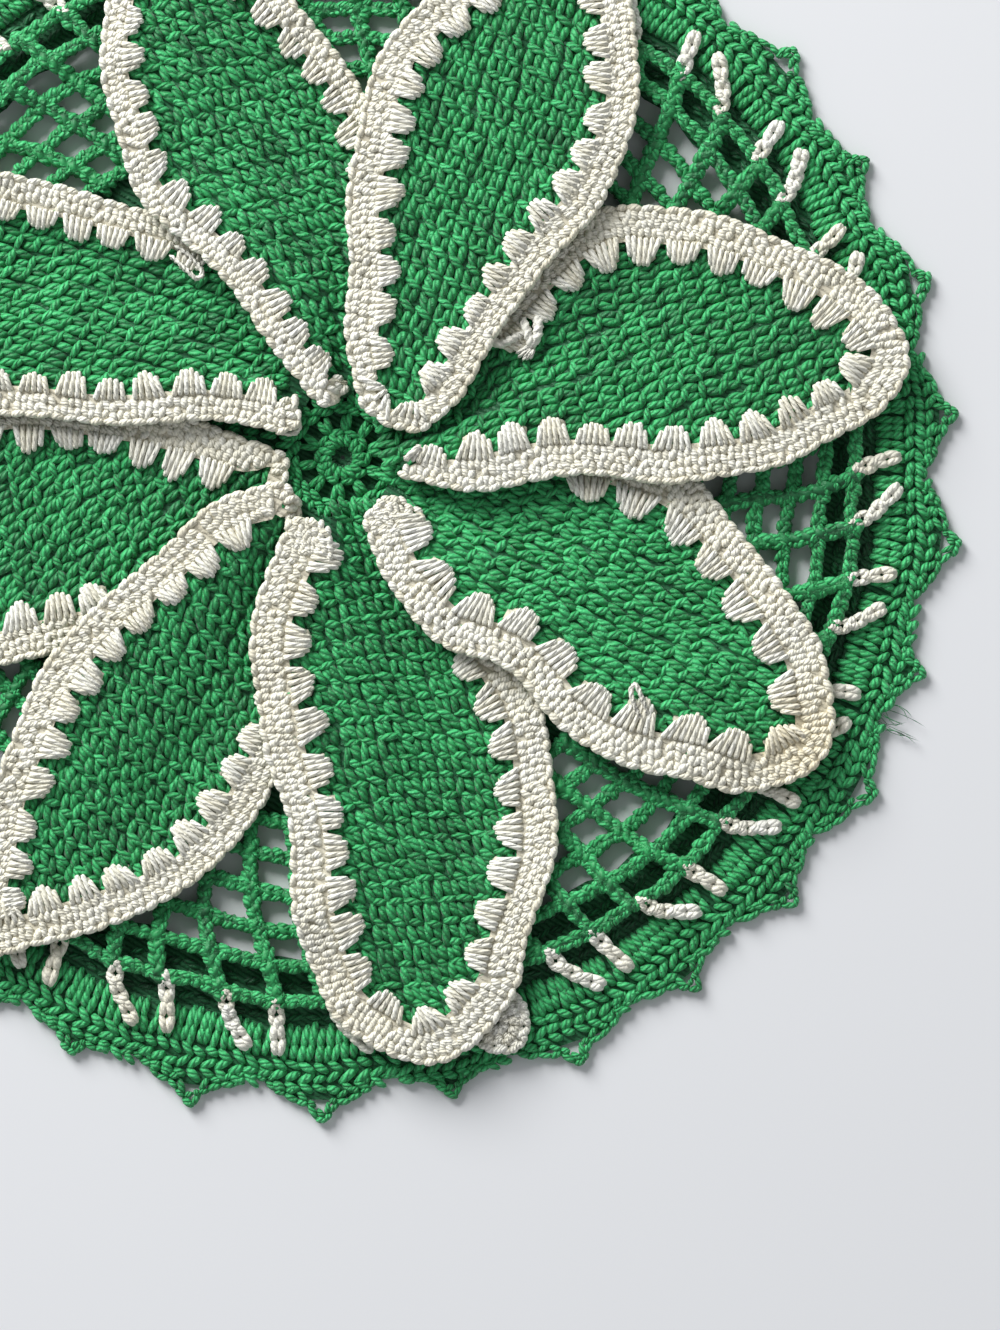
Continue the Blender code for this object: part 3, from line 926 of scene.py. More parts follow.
STAIN = Stain(Vector((78.8, -43.0, 5.0)) * MM, 12 * MM, (0.95, 0.84, 0.62))
SHADOW_SHARES = (1.0, 0.5, 2.0)
FELTED_SHARE = 1.02


class DOILY_OT_yarn(bpy.types.Operator):
    """Make the node trees, the strands and the cotton materials"""

    bl_idname = "doily.yarn"
    bl_label = "Yarn"

    def execute(self, context):
        looks = context.scene.doily_colours
        for make in (stitches_tree, cords_tree, twist_group, colour_group):
            make()
        strand_object("strand", STRAND_RINGS)
        strand_object("blunt_strand", BLUNT_RINGS)
        green = (looks.green, looks.dark_green, looks.light_green)
        cream = (looks.cream, looks.darkest_cream_and_shade, looks.light_cream)
        # Painted shade: a cotton whose tones are the dark green, half of it and twice it, for the
        # sheets under the stitches and for the backing ring.
        shadow = [[tone * share for tone in looks.dark_green] for share in SHADOW_SHARES]
        felted = [[tone * FELTED_SHARE for tone in looks.cream], *cream[1:]]
        cotton("green_yarn", green, looks, groove_shade=0.55)
        cotton("dark_green_yarn", shadow, looks, groove_shade=0.5)
        cotton("cream_yarn", cream, looks, groove_shade=0.12, relief=0.8, stain=STAIN)
        cotton("felted_cream_yarn", felted, looks, turns=1.1, groove_shade=0.07, relief=0.6,
               stain=STAIN)
        return {"FINISHED"}


# The rosette has spokes round an open centre, then holes. A hole has a strand along each side and
# others across its ends, each given as a turn from the hole and a radius. Plain rounds follow.
DISC_RADII = (DISC_RADIUS, 30.0, 12.0, 7.5, 3.0, 0.35)
DISC_SIDES = 96
SPOKES = 16
SPOKE_START, SPOKE_END, CENTRE_RADIUS = 1.45, 4.2, 1.75
HOLES = 10
FIRST_HOLE_DEGREES = 31
HOLE_START, HOLE_END = 3.9, 7.4
HOLE_ENDS = ((0.0, 4.3), (-0.16, 7.9), (0.16, 7.9), (0.0, 8.9), (0.31, 8.7))
PLAIN_ROUNDS = (9.6, 12.6, 15.6, 18.6, 21.6, 24.6)
PLAIN_STITCH, PLAIN_INSIDE, PLAIN_OUTSIDE = 2.9, 1.4, 1.5
ROSETTE_HEIGHT, PLAIN_HEIGHT = 2.0, 1.4


class DOILY_OT_ground(bpy.types.Operator):
    """Work the rosette and the rounds of plain stitches under the petals"""

    bl_idname = "doily.ground"
    bl_label = "Ground and Rosette"

    def execute(self, context):
        sizes = context.scene.doily_sizes
        yarn = sizes.yarn_width / MM
        shadow, green = dyed("dark_green"), dyed("green")

        def place(column, row):
            return on_ground(DISC_RADII[row], column * math.tau / DISC_SIDES, 0.3)

        # The disc is in the painted-shade cotton, so the rosette's holes and the gaps between its
        # strands look shaded.
        disc = slab("ground_disc", DISC_SIDES, len(DISC_RADII) - 1, place, 0.5, shadow, closed=True)
        stitches = Stitches(sizes.seed)
        around = stitches.around
        for k in range(SPOKES):
            angle = k * math.tau / SPOKES + around(0.05)
            stitches.lay((SPOKE_START, angle, 1.8), (SPOKE_END, angle + 0.1, 2.2),
                         width=1.45, high=1.6)
            # Strands at the darkest tone round the open centre: painted shade in the hole.
            stitches.lay_across(CENTRE_RADIUS, angle, turn=0.25, tilt=0.0, height=0.9,
                                width=0.9, high=1.6, shade=0.0)
        for k in range(HOLES):
            hole = math.radians(FIRST_HOLE_DEGREES) + k * math.tau / HOLES + around(0.05)
            for side in (-1, 1):
                stitches.lay((HOLE_START, hole + side * 0.3, 1.8),
                             (HOLE_END, hole + side * 0.22, 1.9), width=1.3, high=1.4)
            for turn, out in HOLE_ENDS:
                stitches.lay_across(out, hole + turn, turn=1.4 / out, tilt=0.25, height=1.9,
                                    width=1.3, high=1.4)
        for n, radius in enumerate(PLAIN_ROUNDS):
            count = round(math.tau * radius / PLAIN_STITCH)
            height = ROSETTE_HEIGHT if n < 2 else PLAIN_HEIGHT
            for k in range(count):
                angle = (k + 0.5 * ((n + 1) % 2)) * math.tau / count + around(0.03)
                for side in (-0.6, 0.6):
                    turn = angle + side / radius
                    stitches.lay(
                        (radius - PLAIN_INSIDE, turn, height),
                        (radius + PLAIN_OUTSIDE, turn + 0.5 / radius, height - 0.05),
                        width=1.3 * yarn, high=1.2)
        # All strands are made lighter except those round the centre, which keep their painted
        # shade.
        stitches.shades = [mix(0.45, 1.0, shade) if shade else shade for shade in stitches.shades]
        rosette = work("rosette_stitches", stitches, green, sizes.unevenness)
        stand_for("net_ground", "green_cotton", disc, rosette)
        return {"FINISHED"}


# The net: ropes with a plait along the top, lower and thinner where a petal covers them.
POST_START, POST_STEP, POST_POINTS = 58.6, 0.62, 48
POST_RADIUS, POST_SWELL = 1.15, 0.25
CHAIN_RADIUS, CHAIN_BOW = 1.08, 0.35
POST_WAVE = 0.008
POST_HEIGHT, COVERED_POST_HEIGHT, COVERED_SHARE = 1.35, 0.9, 0.85
CHAIN_HEIGHT, COVERED_CHAIN_HEIGHT = 1.25, 0.85
KNOT_HEIGHT, COVERED_KNOT_HEIGHT, KNOT_REACH, KNOT_TILTS = 2.0, 1.0, 1.3, (0.9, -0.5)
# The ropes under the plaits are darker than the plaits: painted shade where they show between the
# plait strands.
ROPE_TONES_WITH_PAINTED_SHADE, PLAIT_SHADES = (0.2, 0.5), (0.5, 1.0)
Plait = namedtuple("Plait", "pitch spread width")
POST_PLAIT, CHAIN_PLAIT = Plait(1.9, 0.95, 1.45), Plait(1.9, 0.85, 1.4)
PLAIT_START, PLAIT_REACH, PLAIT_CLOSING, PLAIT_STRAY = 0.3, 0.66, 0.25, 0.26
PLAIT_LOW, PLAIT_HIGH, PLAIT_THICKNESS = 0.35, 0.85, 1.15


def plait(stitches, line, size):
    """Lay pairs of strands along the top of a rope, each closing as in a chain of stitches."""
    gone, wanted = 0.0, PLAIT_START * size.pitch
    for start, end in zip(line, line[1:]):
        step = (end - start).length
        while wanted < gone + step:
            spot = start.lerp(end, (wanted - gone) / step)
            wanted += size.pitch
            if under_petal(spot.xy):
                continue
            run = (end - start).normalized() * (PLAIT_REACH * size.pitch)
            side = Vector((-run.y, run.x, 0.0)).normalized()
            for way in (-size.spread, size.spread):
                stray = side * stitches.around(PLAIT_STRAY)
                stitches.add(spot - run + side * way + stray + up(PLAIT_LOW),
                             spot + run + side * (PLAIT_CLOSING * way) + stray + up(PLAIT_HIGH),
                             size.width + stitches.around(0.08), PLAIT_THICKNESS,
                             stitches.some(*PLAIT_SHADES))
        gone += step


def post_angle(post, radius):
    lean = math.radians(POST_LEAN_DEGREES) * (radius - CHAIN_ROUNDS[-1])
    return post * math.tau / POSTS + lean + POST_WAVE * math.sin(post * 2.1 + radius * 0.12)


def work_posts(posts, plaits):
    for post in range(POSTS):
        line, radii = [], []
        for n in range(POST_POINTS):
            radius = POST_START + POST_STEP * n
            knot = max(math.exp(-((radius - near) ** 2)) for near in CHAIN_ROUNDS)
            spot = on_ground(radius, post_angle(post, radius), net_floor(radius))
            covered = under_petal(spot.xy)
            line.append(spot + up(COVERED_POST_HEIGHT if covered else POST_HEIGHT))
            thick = POST_RADIUS + POST_SWELL * knot + posts.around(0.1)
            radii.append(thick * (COVERED_SHARE if covered else 1.0))
        posts.add(line, radii, posts.some(*ROPE_TONES_WITH_PAINTED_SHADE))
        plait(plaits, line, POST_PLAIT)


def work_chains(chains, plaits):
    for radius in CHAIN_ROUNDS:
        steps = 9 if radius < 75 else 11
        for post in range(POSTS):
            start, end = post_angle(post, radius), post_angle(post + 1, radius)
            bow = chains.around(CHAIN_BOW)
            line = []
            for step in range(steps + 1):
                share = step / steps
                out = radius + bow * math.sin(math.pi * share)
                spot = on_ground(out, mix(start, end, share), net_floor(radius))
                covered = under_petal(spot.xy)
                line.append(spot + up(COVERED_CHAIN_HEIGHT if covered else CHAIN_HEIGHT))
            chains.add(line, CHAIN_RADIUS + chains.around(0.08), chains.some(*ROPE_TONES_WITH_PAINTED_SHADE))
            plait(plaits, line, CHAIN_PLAIT)


def work_knots(knots):
    for radius in CHAIN_ROUNDS:
        for post in range(POSTS):
            for tilt in KNOT_TILTS:
                angle = post_angle(post, radius) + knots.around(0.5) / radius
                out = radius + knots.around(0.5)
                covered = under_petal(on_ground(out, angle, 0).xy)
                height = net_floor(radius) + (COVERED_KNOT_HEIGHT if covered else KNOT_HEIGHT)
                knots.lay_across(out, angle, turn=KNOT_REACH / radius, tilt=tilt, height=height,
                                 width=1.25, high=1.1)


class DOILY_OT_net(bpy.types.Operator):
    """Work the net: leaning posts joined by rounds of chain"""

    bl_idname = "doily.net"
    bl_label = "Net"

    def execute(self, context):
        sizes = context.scene.doily_sizes
        green = dyed("green")
        posts, chains = Cords(sizes.seed + 1), Cords(sizes.seed + 2)
        plaits, knots = Stitches(sizes.seed + 9), Stitches(sizes.seed + 3)
        work_posts(posts, plaits)
        work_chains(chains, plaits)
        work_knots(knots)
        plaited = work("net_stitches", plaits, green, 2.0 * sizes.unevenness)
        knotted = work("net_knots", knots, green, 2.0 * sizes.unevenness)
        web = twist("net_posts", posts, green, turns=250.0, depth=0.2, sides=8)
        rounds = twist("net_chains", chains, green, turns=290.0, depth=0.2, sides=8)
        stand_for("net_ground", "green_cotton", web, rounds, plaited, knotted)
        return {"FINISHED"}


RING_SIDES = 180
RING_ROUNDS = (82.2, 84.6, 87.0, 89.4)
RING_STITCH, RING_REACH, RING_TILT = 3.1, 1.7, 0.5


class DOILY_OT_backing_ring(bpy.types.Operator):
    """Work the ring under the last round of the net, whose dark green is painted shade"""

    bl_idname = "doily.backing_ring"
    bl_label = "Backing Ring"

    def execute(self, context):
        sizes = context.scene.doily_sizes
        shadow = dyed("dark_green")

        def place(column, row):
            radius = (RING_OUTER_RADIUS, RING_INNER_RADIUS)[row]
            radius += (0.27, 0.45)[row] * math.sin(column * 1.7)
            return on_ground(radius, column * math.tau / RING_SIDES, 0.25)

        ring = slab("backing_ring_sheet", RING_SIDES, 1, place, 0.4, shadow, closed=True)
        stitches = Stitches(sizes.seed + 3)
        for radius in RING_ROUNDS:
            count = round(math.tau * radius / RING_STITCH)
            for k in range(count):
                tilt = RING_TILT if k % 2 else -RING_TILT
                stitches.lay_across(radius, k * math.tau / count, turn=RING_REACH / radius,
                                    tilt=tilt, height=0.62, width=1.25, high=0.9)
        worked = work("backing_ring_stitches", stitches, shadow, sizes.unevenness)
        stand_for("backing_ring", "dark_green_cotton", ring, worked)
        return {"FINISHED"}


# The scalloped edge: fans of two strands end to end, rows of slanted stitches, each given as its
# slant and radius, and two rows of chain along the rim.
EDGE_INNER, EDGE_CREST, EDGE_OUTER = 90.0, 94.0, 100.0
EDGE_INNER_HEIGHT, EDGE_CREST_HEIGHT, EDGE_OUTER_HEIGHT = 1.3, 1.75, 0.95
EDGE_SHEET_THICKNESS, EDGE_SHEET_DROP = 0.5, 0.75
EDGE_SHEET_MIDDLE, EDGE_SHEET_REACH, EDGE_SHEET_INSET = 97.5, 102.0, 0.9
FANS = 14
FAN_START, FAN_MIDDLE, FAN_OVERLAP, FAN_END = 90.3, 94.2, 93.0, 96.4
ROW_STITCHES = 9
SLANTED_ROWS = ((1, 96.9), (-1, 98.6), (1, 100.3))
ROW_TILT, ROW_REACH = 0.8, 1.35
RIM_PITCH, RIM_WAY = 2, 0.35
RIM_CHAIN_INSET, RIM_CHAIN_TURN, INNER_CHAIN_INSET = 0.55, 0.003, 1.75


def scallop_rim():
    """The rim of the scalloped edge as angles and radii, with a point about every millimetre."""
    corners = []
    for scallop in range(SCALLOPS + 1):
        for step in SCALLOP_STEPS[:None if scallop < SCALLOPS else 1]:
            stray = SCALLOP_UNEVENNESS * math.sin(scallop * 2.4) * (step.share > 0)
            corners.append(Vector((scallop_angle(scallop, step.share), step.radius + stray)))
    rim = []
    for start, end in zip(corners, corners[1:]):
        run = math.hypot((end.x - start.x) * RIM_RADIUS, end.y - start.y)
        steps = max(1, round(run))
        rim += [mix(start, end, n / steps) for n in range(steps)]
    return rim


def edge_height(radius):
    if radius < EDGE_CREST:
        return mix(EDGE_INNER_HEIGHT, EDGE_CREST_HEIGHT, between(radius, EDGE_INNER, EDGE_CREST))
    return mix(EDGE_CREST_HEIGHT, EDGE_OUTER_HEIGHT, between(radius, EDGE_CREST, EDGE_OUTER))


def work_fans(stitches):
    crest = edge_height(EDGE_CREST)
    around = stitches.around
    for scallop in range(SCALLOPS):
        middle = scallop_angle(scallop, 0.5)
        for k in range(FANS):
            spread = ((k + 0.5) / FANS - 0.5) * math.tau / SCALLOPS
            inner = middle + 0.96 * spread + around(0.003)
            outer = middle + spread + around(0.004)
            shade = stitches.some(0.65, 1.0)
            stitches.lay((FAN_START + around(0.4), inner, 1.15), (FAN_MIDDLE, inner, crest),
                         width=1.4, high=1.3, shade=shade)
            stitches.lay((FAN_OVERLAP, inner, crest),
                         (FAN_END + around(0.5), outer, edge_height(96) - 0.1),
                         width=1.45, high=1.4, shade=shade)


def work_slanted_rows(stitches):
    count = SCALLOPS * ROW_STITCHES
    for k in range(count):
        angle = (k + 0.5) * math.tau / count
        for way, radius in SLANTED_ROWS:
            if radius > EDGE_OUTER and k % ROW_STITCHES == 0:
                continue
            tilt = ROW_TILT * way + stitches.around(0.45)
            stitches.lay_across(
                radius + stitches.around(0.3), angle, turn=ROW_REACH / radius, tilt=tilt,
                height=edge_height(radius) + 0.15, width=1.4, high=1.35,
                shade=stitches.some(0.7, 1.0))


def work_rim(stitches, rim):
    for k in range(0, len(rim) - RIM_PITCH, RIM_PITCH):
        (angle, radius), (next_angle, next_radius) = rim[k], rim[k + RIM_PITCH]
        way = RIM_WAY if (k // RIM_PITCH) % 2 else -RIM_WAY
        stitches.lay((radius - RIM_CHAIN_INSET - way, angle - RIM_CHAIN_TURN, 1.0),
                     (next_radius - RIM_CHAIN_INSET + way, next_angle + RIM_CHAIN_TURN, 1.0),
                     width=1.15, high=1.2, shade=stitches.some(0.5, 1.0))
        stitches.lay((radius - INNER_CHAIN_INSET + way, angle, 1.15),
                     (next_radius - INNER_CHAIN_INSET - 1.5 * way, next_angle, 1.15),
                     width=1.05, high=1.1, shade=stitches.some(0.4, 0.9))


class DOILY_OT_scalloped_edge(bpy.types.Operator):
    """Work the scalloped edge: fans of long stitches, slanted rows and a chain with picots"""

    bl_idname = "doily.scalloped_edge"
    bl_label = "Scalloped Edge"

    def execute(self, context):
        sizes = context.scene.doily_sizes
        shadow, green = dyed("dark_green"), dyed("green")
        rim = scallop_rim()

        def place(column, row):
            angle, outer = rim[column % len(rim)]
            radius = (min(outer - EDGE_SHEET_INSET, EDGE_SHEET_REACH), EDGE_SHEET_MIDDLE,
                      SCALLOP_SHEET_RADIUS)[row]
            return on_ground(radius, angle, edge_height(radius) - EDGE_SHEET_DROP)

        # The sheet under the edge's stitches is in the painted-shade cotton, dark as the shade
        # between them.
        band = slab("scalloped_edge_sheet", len(rim), 2, place, EDGE_SHEET_THICKNESS, shadow,
                    closed=True)
        stitches = Stitches(sizes.seed + 5)
        work_fans(stitches)
        work_slanted_rows(stitches)
        work_rim(stitches, rim)
        worked = work("scalloped_edge_stitches", stitches, green, sizes.unevenness)
        stand_for("scalloped_edge", "green_cotton", band, worked)
        plan_area(band.data)
        return {"FINISHED"}


# One leg of a chain stitch: where its strands start and end, in shares of its length and of its
# half width.
CHAIN_LEG = (((-0.35, 0.0), (0.25, 0.1)), ((-0.15, 0.15), (0.6, 1.0)), ((0.4, 1.0), (1.15, 0.3)))
# The corners of the cream links: degrees from the valley between two scallops, how much of the
# chance turn they take, radius and height.
LONG_LINK = ((-5.25, 1, 87.2, 2.9), (-4.6, 1, 90.0, 2.6), (-3.2, 1, 92.3, 2.4),
             (-1.45, 0, 94.9, 2.7))
SHORT_LINK = ((0.2, 1, 87.2, 2.9), (0.9, 1, 90.6, 2.5), (1.7, 1, 94.9, 2.7))
# Half width and strand width of a link's first chain stitch and of the others.
LINK_SIZES = (1.05, 1.4), (0.82, 1.55)
LINK_RISE, LINK_FALL, LINK_THICKNESS = 0.35, 0.5, 1.4
# The crumpled end of the cream chain round, beside the tip of petal c: its rim, and the size,
# height and half width of each of its rounds.
CRUMPLE_RIM = ((24.6, -88.2), (27.0, -88.4), (29.0, -89.8), (29.9, -92.2), (29.7, -94.8),
            (28.6, -96.7), (26.2, -97.2), (23.8, -96.6), (21.8, -95.2))
CRUMPLE_CENTRE = Vector((25.0, -92.8))
CRUMPLE_ROUNDS = ((1.0, 2.7, 0.8), (0.66, 3.1, 0.7), (0.32, 3.2, 0.6))


def chain_stitch(stitches, start, end, half_width, width):
    """A chain stitch: two legs that part from its start and close over the next one's start."""
    run = end - start
    side = Vector((-run.y, run.x, 0.0)).normalized() * half_width
    shade = stitches.some(0.5, 1.0)
    for way in (-1, 1):
        for strand in CHAIN_LEG:
            tips = [start + run * x + side * (way * y) + up(LINK_RISE - LINK_FALL * x)
                    for x, y in strand]
            stitches.add(*tips, width + stitches.around(0.12), LINK_THICKNESS, shade)


def crumpled_end(stitches):
    for size, height, half_width in CRUMPLE_ROUNDS:
        corners = [Vector((*mix(CRUMPLE_CENTRE, Vector(place), size),
                           height + stitches.around(0.15))) for place in CRUMPLE_RIM]
        for start, end in zip(corners, corners[1:]):
            chain_stitch(stitches, start, end, half_width, 1.35)


class DOILY_OT_cream_links(bpy.types.Operator):
    """Work the cream chains that join the net to the scalloped edge"""

    bl_idname = "doily.cream_links"
    bl_label = "Cream Chain Round"

    def execute(self, context):
        sizes = context.scene.doily_sizes
        cream = dyed("cream")
        stitches = Stitches(sizes.seed + 6)
        for valley in range(SCALLOPS):
            middle = scallop_angle(valley, 0)
            chance_turn = stitches.around(0.25)
            for link in (LONG_LINK, SHORT_LINK):
                corners = [
                    on_ground(radius, middle + math.radians(turn + share * chance_turn), height)
                    for turn, share, radius, height in link]
                for n, (start, end) in enumerate(zip(corners, corners[1:])):
                    chain_stitch(stitches, start, end, *LINK_SIZES[n > 0])
        crumpled_end(stitches)
        links = work("cream_chain_links", stitches, cream, sizes.unevenness)
        stand_for("cream_chain_round", "cream_cotton", links)
        return {"FINISHED"}


# Petal stitches, each a pair of strands that opens towards the tip and the bar that closes it.
FABRIC_SLANT_DEGREES = 8
FABRIC_COLUMNS = 14
FABRIC_START, FABRIC_TIP, FABRIC_MARGIN, FABRIC_RIM = 1.0, 3.0, 0.2, 2.4
PAIR_LENGTH, PAIR_WIDTH, PAIR_HEIGHT = 4.0, 1.56, 0.62
PAIR_SPREAD, PAIR_OPENING = 0.70, 0.12
PAIR_SHADES, BAR_SHADES = (0.25, 0.85), (0.35, 0.95)
BAR_LENGTH, BAR_WIDTH, BAR_HEIGHT = 3.2, 1.38, 0.80
BAR_AHEAD, BAR_TURN_DEGREES = 1.8, 60
FABRIC_RISE, FABRIC_FLATNESS = 0.06, 0.95
LIGHTER_PETALS = {"b": 0.15}

# Border stitches, the middle of whose first row is ROW_START inside the rim.
BORDER_CHAIN_PITCH, BORDER_CHAIN_INSET = 2.2, 0.65
BORDER_CHAIN_REACH, BORDER_CHAIN_HEIGHT = 1.35, 1.62
ROW_START, ROW_DEPTH, ROW_PITCH, ROW_SKIPPED = 1.8, 1.4, 1.12, 0.04
ROW_OUTER, ROW_INNER, ROW_REACH_IN = 0.8, 0.6, 1.0
ROW_STRAND_WIDTH, ROW_STRAND_HEIGHT, ROW_HEIGHT = 1.3, 0.62, 1.74
NARROWEST_ROWS = 3.6
ROW_SHADES = (0.45, 0.8)
END_ROWS, END_COLUMNS, END_ROW_PITCH, END_COLUMN_PITCH, END_INSET = 7, 4, 1.0, 1.4, 0.6
END_CURVE, END_CURVE_START, END_CURVE_END = 2.2, 4.0, 7.0
END_STITCH_REACH, END_STITCH_HEIGHT = 0.95, 1.6
LOBE_DEPTH_SHARE, LEAST_LOBE, LEAST_LOBE_SQUEEZE, LOBE_FREE_BASE = 0.75, 3.0, 0.3, 2.5
LOBE_STRAND_PITCH, LOBE_STRAND_WIDTH, LOBE_STRAND_HEIGHT = 1.06, 0.94, 1.25
LOBE_TIP_SHARE, LOBE_ROUNDING, LOBE_POWER = 0.7, 0.88, 2.6
LOBE_OVERLAP, LOBE_START_HEIGHT, LOBE_TIP_HEIGHT = 0.9, 1.8, 1.66
# The filling under a lobe is at the dark cream: painted shade in the gaps between the lobe's
# strands.
FILLING_SHARE, FILLING_PAINTED_SHADE, FILLING_OVERLAP, FILLING_TIP_INSET = 0.7, -0.3, 1.6, 0.6
FILLING_HEIGHTS = (0.9, 0.8)
NARROWEST_BORDER = 3.0


def inward_place(rim_place, spread, depth):
    """A point that far inside the rim, and that far along it from a place on the rim."""
    point, inward, bend, _ = rim_place
    run = Vector((inward.y, -inward.x))
    spread *= max(LEAST_SPREAD, 1.0 - depth * bend)
    return point + run * spread + inward * depth


def petal_fabric(shape, sizes, seed, hidden):
    """The green stitches of a petal."""
    stitches = Stitches(seed)
    yarn, across, along = (
        size / MM for size in (sizes.yarn_width, sizes.stitch_across, sizes.stitch_along))
    lean = math.radians(shape.petal.lean)
    slant = math.tan(math.radians(FABRIC_SLANT_DEGREES))
    light = LIGHTER_PETALS.get(shape.petal.name, 0.0)
    around = stitches.around

    def strand(centre, turn, length, width, height, shade):
        run = Vector((math.cos(turn), math.sin(turn))) * (length / 2)
        stitches.add(shape.place(centre - run, height),
                     shape.place(centre + run, height + FABRIC_RISE),
                     width, FABRIC_FLATNESS * width, shade)

    for i in range(int((shape.reach - shape.base) / along) + 1):
        distance = shape.base - FABRIC_START + i * along
        if distance > shape.reach - FABRIC_TIP:
            break
        right = FABRIC_MARGIN - shape.half_width(distance, -1)
        left = shape.half_width(distance, 1) - FABRIC_MARGIN
        for j in range(-FABRIC_COLUMNS, FABRIC_COLUMNS + 1):
            offset = j * across + slant * distance % across
            point = Vector((distance + around(0.3), offset + around(0.3)))
            if (not right < point.y < left or shape.depth(point) < FABRIC_RIM
                    or hidden(shape.place(point, 0).xy)):
                continue
            turn = lean + around(0.16)
            forward = Vector((math.cos(turn), math.sin(turn)))
            side = Vector((-forward.y, forward.x))
            for way in (-1, 1):
                strand(point + side * (way * PAIR_SPREAD + around(0.16)),
                       turn + way * PAIR_OPENING + around(0.18), PAIR_LENGTH + around(0.4),
                       PAIR_WIDTH * yarn, PAIR_HEIGHT + around(0.16),
                       light + stitches.some(*PAIR_SHADES))
            strand(point + forward * BAR_AHEAD,
                   turn + math.radians(BAR_TURN_DEGREES) + around(0.35), BAR_LENGTH + around(0.3),
                   BAR_WIDTH * yarn, BAR_HEIGHT + around(0.16),
                   light + stitches.some(*BAR_SHADES))
    return stitches


class BorderStitches(Stitches):
    """Strands on a petal's border, left out where another petal hides them."""

    def __init__(self, seed, shape, hidden):
        super().__init__(seed)
        self.shape, self.hidden = shape, hidden

    def on_border(self, rim_place, spreads, depths, heights, width, high, shade=None):
        start, end = (inward_place(rim_place, *at) for at in zip(spreads, depths))
        if not self.hidden(self.shape.place((start + end) / 2, 0).xy):
            self.add(self.shape.place(start, heights[0]), self.shape.place(end, heights[1]),
                     width, high, shade)

    def blunt_end(self):
        """The short stitches that fill the border's blunt end beside the rosette."""
        shape, around = self.shape, self.around
        side = 1 if shape.petal.right_start == 0 else -1
        corner = shape.outline[0] if side > 0 else shape.outline[-1]
        for i in range(END_COLUMNS):
            for j in range(END_ROWS):
                step = Vector((END_COLUMN_PITCH * i + END_INSET, END_ROW_PITCH * j + END_INSET))
                step.x += END_CURVE * between(step.y, END_CURVE_START, END_CURVE_END) ** 2
                point = corner + Vector((step.x, side * step.y))
                if (self.hidden(shape.place(point, 0).xy)
                        or shape.depth(point) > BORDER_ROWS_SHARE * shape.petal.border):
                    continue
                run = Vector((END_STITCH_REACH, around(0.4)))
                point += Vector((around(0.2), around(0.2)))
                self.add(shape.place(point - run, END_STITCH_HEIGHT),
                         shape.place(point + run, END_STITCH_HEIGHT),
                         width=1.16, high=0.95, shade=self.some(0.35, 0.8))


def border_rows(shape, seed, hidden):
    """A border's chain along the rim and its rows of short stitches."""
    stitches = BorderStitches(seed, shape, hidden)
    around = stitches.around
    for n, at in enumerate(shape.spaced(BORDER_CHAIN_PITCH, 0.6)):
        tilt = 0.28 if n % 2 else -0.2
        if at[3] > NARROWEST_BORDER:
            stitches.on_border(at, (-BORDER_CHAIN_REACH, BORDER_CHAIN_REACH),
                               (BORDER_CHAIN_INSET - tilt, BORDER_CHAIN_INSET + tilt),
                               (BORDER_CHAIN_HEIGHT, BORDER_CHAIN_HEIGHT), width=1.3, high=1.1)
    row, depth = 0, ROW_START
    while depth - ROW_OUTER < BORDER_ROWS_SHARE * shape.petal.border:
        for n, at in enumerate(shape.spaced(ROW_PITCH, depth, start=0.5 * (row % 2))):
            if depth + ROW_INNER > max(NARROWEST_ROWS, BORDER_ROWS_SHARE * at[3]):
                continue
            if stitches.chance.random() < ROW_SKIPPED:
                continue
            tilt = (0.3 if n % 2 else -0.3) + around(0.45)
            middle = depth + around(0.3)
            stitches.on_border(
                at, (around(0.2) - tilt, around(0.2) + tilt),
                (middle - ROW_REACH_IN, middle + ROW_REACH_IN),
                (ROW_HEIGHT + around(0.08), ROW_HEIGHT + around(0.08)), ROW_STRAND_WIDTH,
                ROW_STRAND_HEIGHT, stitches.some(*ROW_SHADES))
        row += 1
        depth = ROW_START + ROW_DEPTH * row
    if shape.petal.name in BLUNT_ENDS:
        stitches.blunt_end()
    return stitches


def border_lobes(shape, seed, hidden):
    """A border's lobes of long strands side by side, over a flat filling in painted shade."""
    stitches = BorderStitches(seed, shape, hidden)
    around = stitches.around
    pitch = shape.petal.lobe
    for at in shape.spaced(pitch, LOBE_DEPTH_SHARE * shape.petal.border, start=0.5 * pitch):
        deep = at[3] * stitches.some(0.92, 1.08)
        if deep < LEAST_LOBE or (shape.full_base and at[0].x < shape.base + LOBE_FREE_BASE):
            continue
        rows_depth = BORDER_ROWS_SHARE * at[3]
        squeeze = max(LEAST_LOBE_SQUEEZE, 1.0 - LOBE_DEPTH_SHARE * deep * at[2])
        wide = pitch * stitches.some(0.88, 0.98)
        half = 0.5 * wide / squeeze
        stitches.on_border(at, (0.0, 0.0), (rows_depth - FILLING_OVERLAP, deep - FILLING_TIP_INSET),
                           FILLING_HEIGHTS, width=FILLING_SHARE * wide, high=1.1,
                           shade=FILLING_PAINTED_SHADE)
        count = round(wide / LOBE_STRAND_PITCH)
        sway = around(0.1) * pitch
        for k in range(count):
            share = (k + 0.5) / count * 2 - 1
            rounding = math.sqrt(1.0 - LOBE_ROUNDING * abs(share) ** LOBE_POWER)
            tip = mix(rows_depth, deep, rounding)
            depths = (rows_depth - LOBE_OVERLAP, tip + around(0.2))
            width = LOBE_STRAND_WIDTH + around(0.07)
            stitches.on_border(
                at, (share * half, share * half * LOBE_TIP_SHARE + sway), depths,
                (LOBE_START_HEIGHT, LOBE_TIP_HEIGHT + around(0.14)), width, LOBE_STRAND_HEIGHT,
                stitches.some(0.5, 1.0))
    return stitches


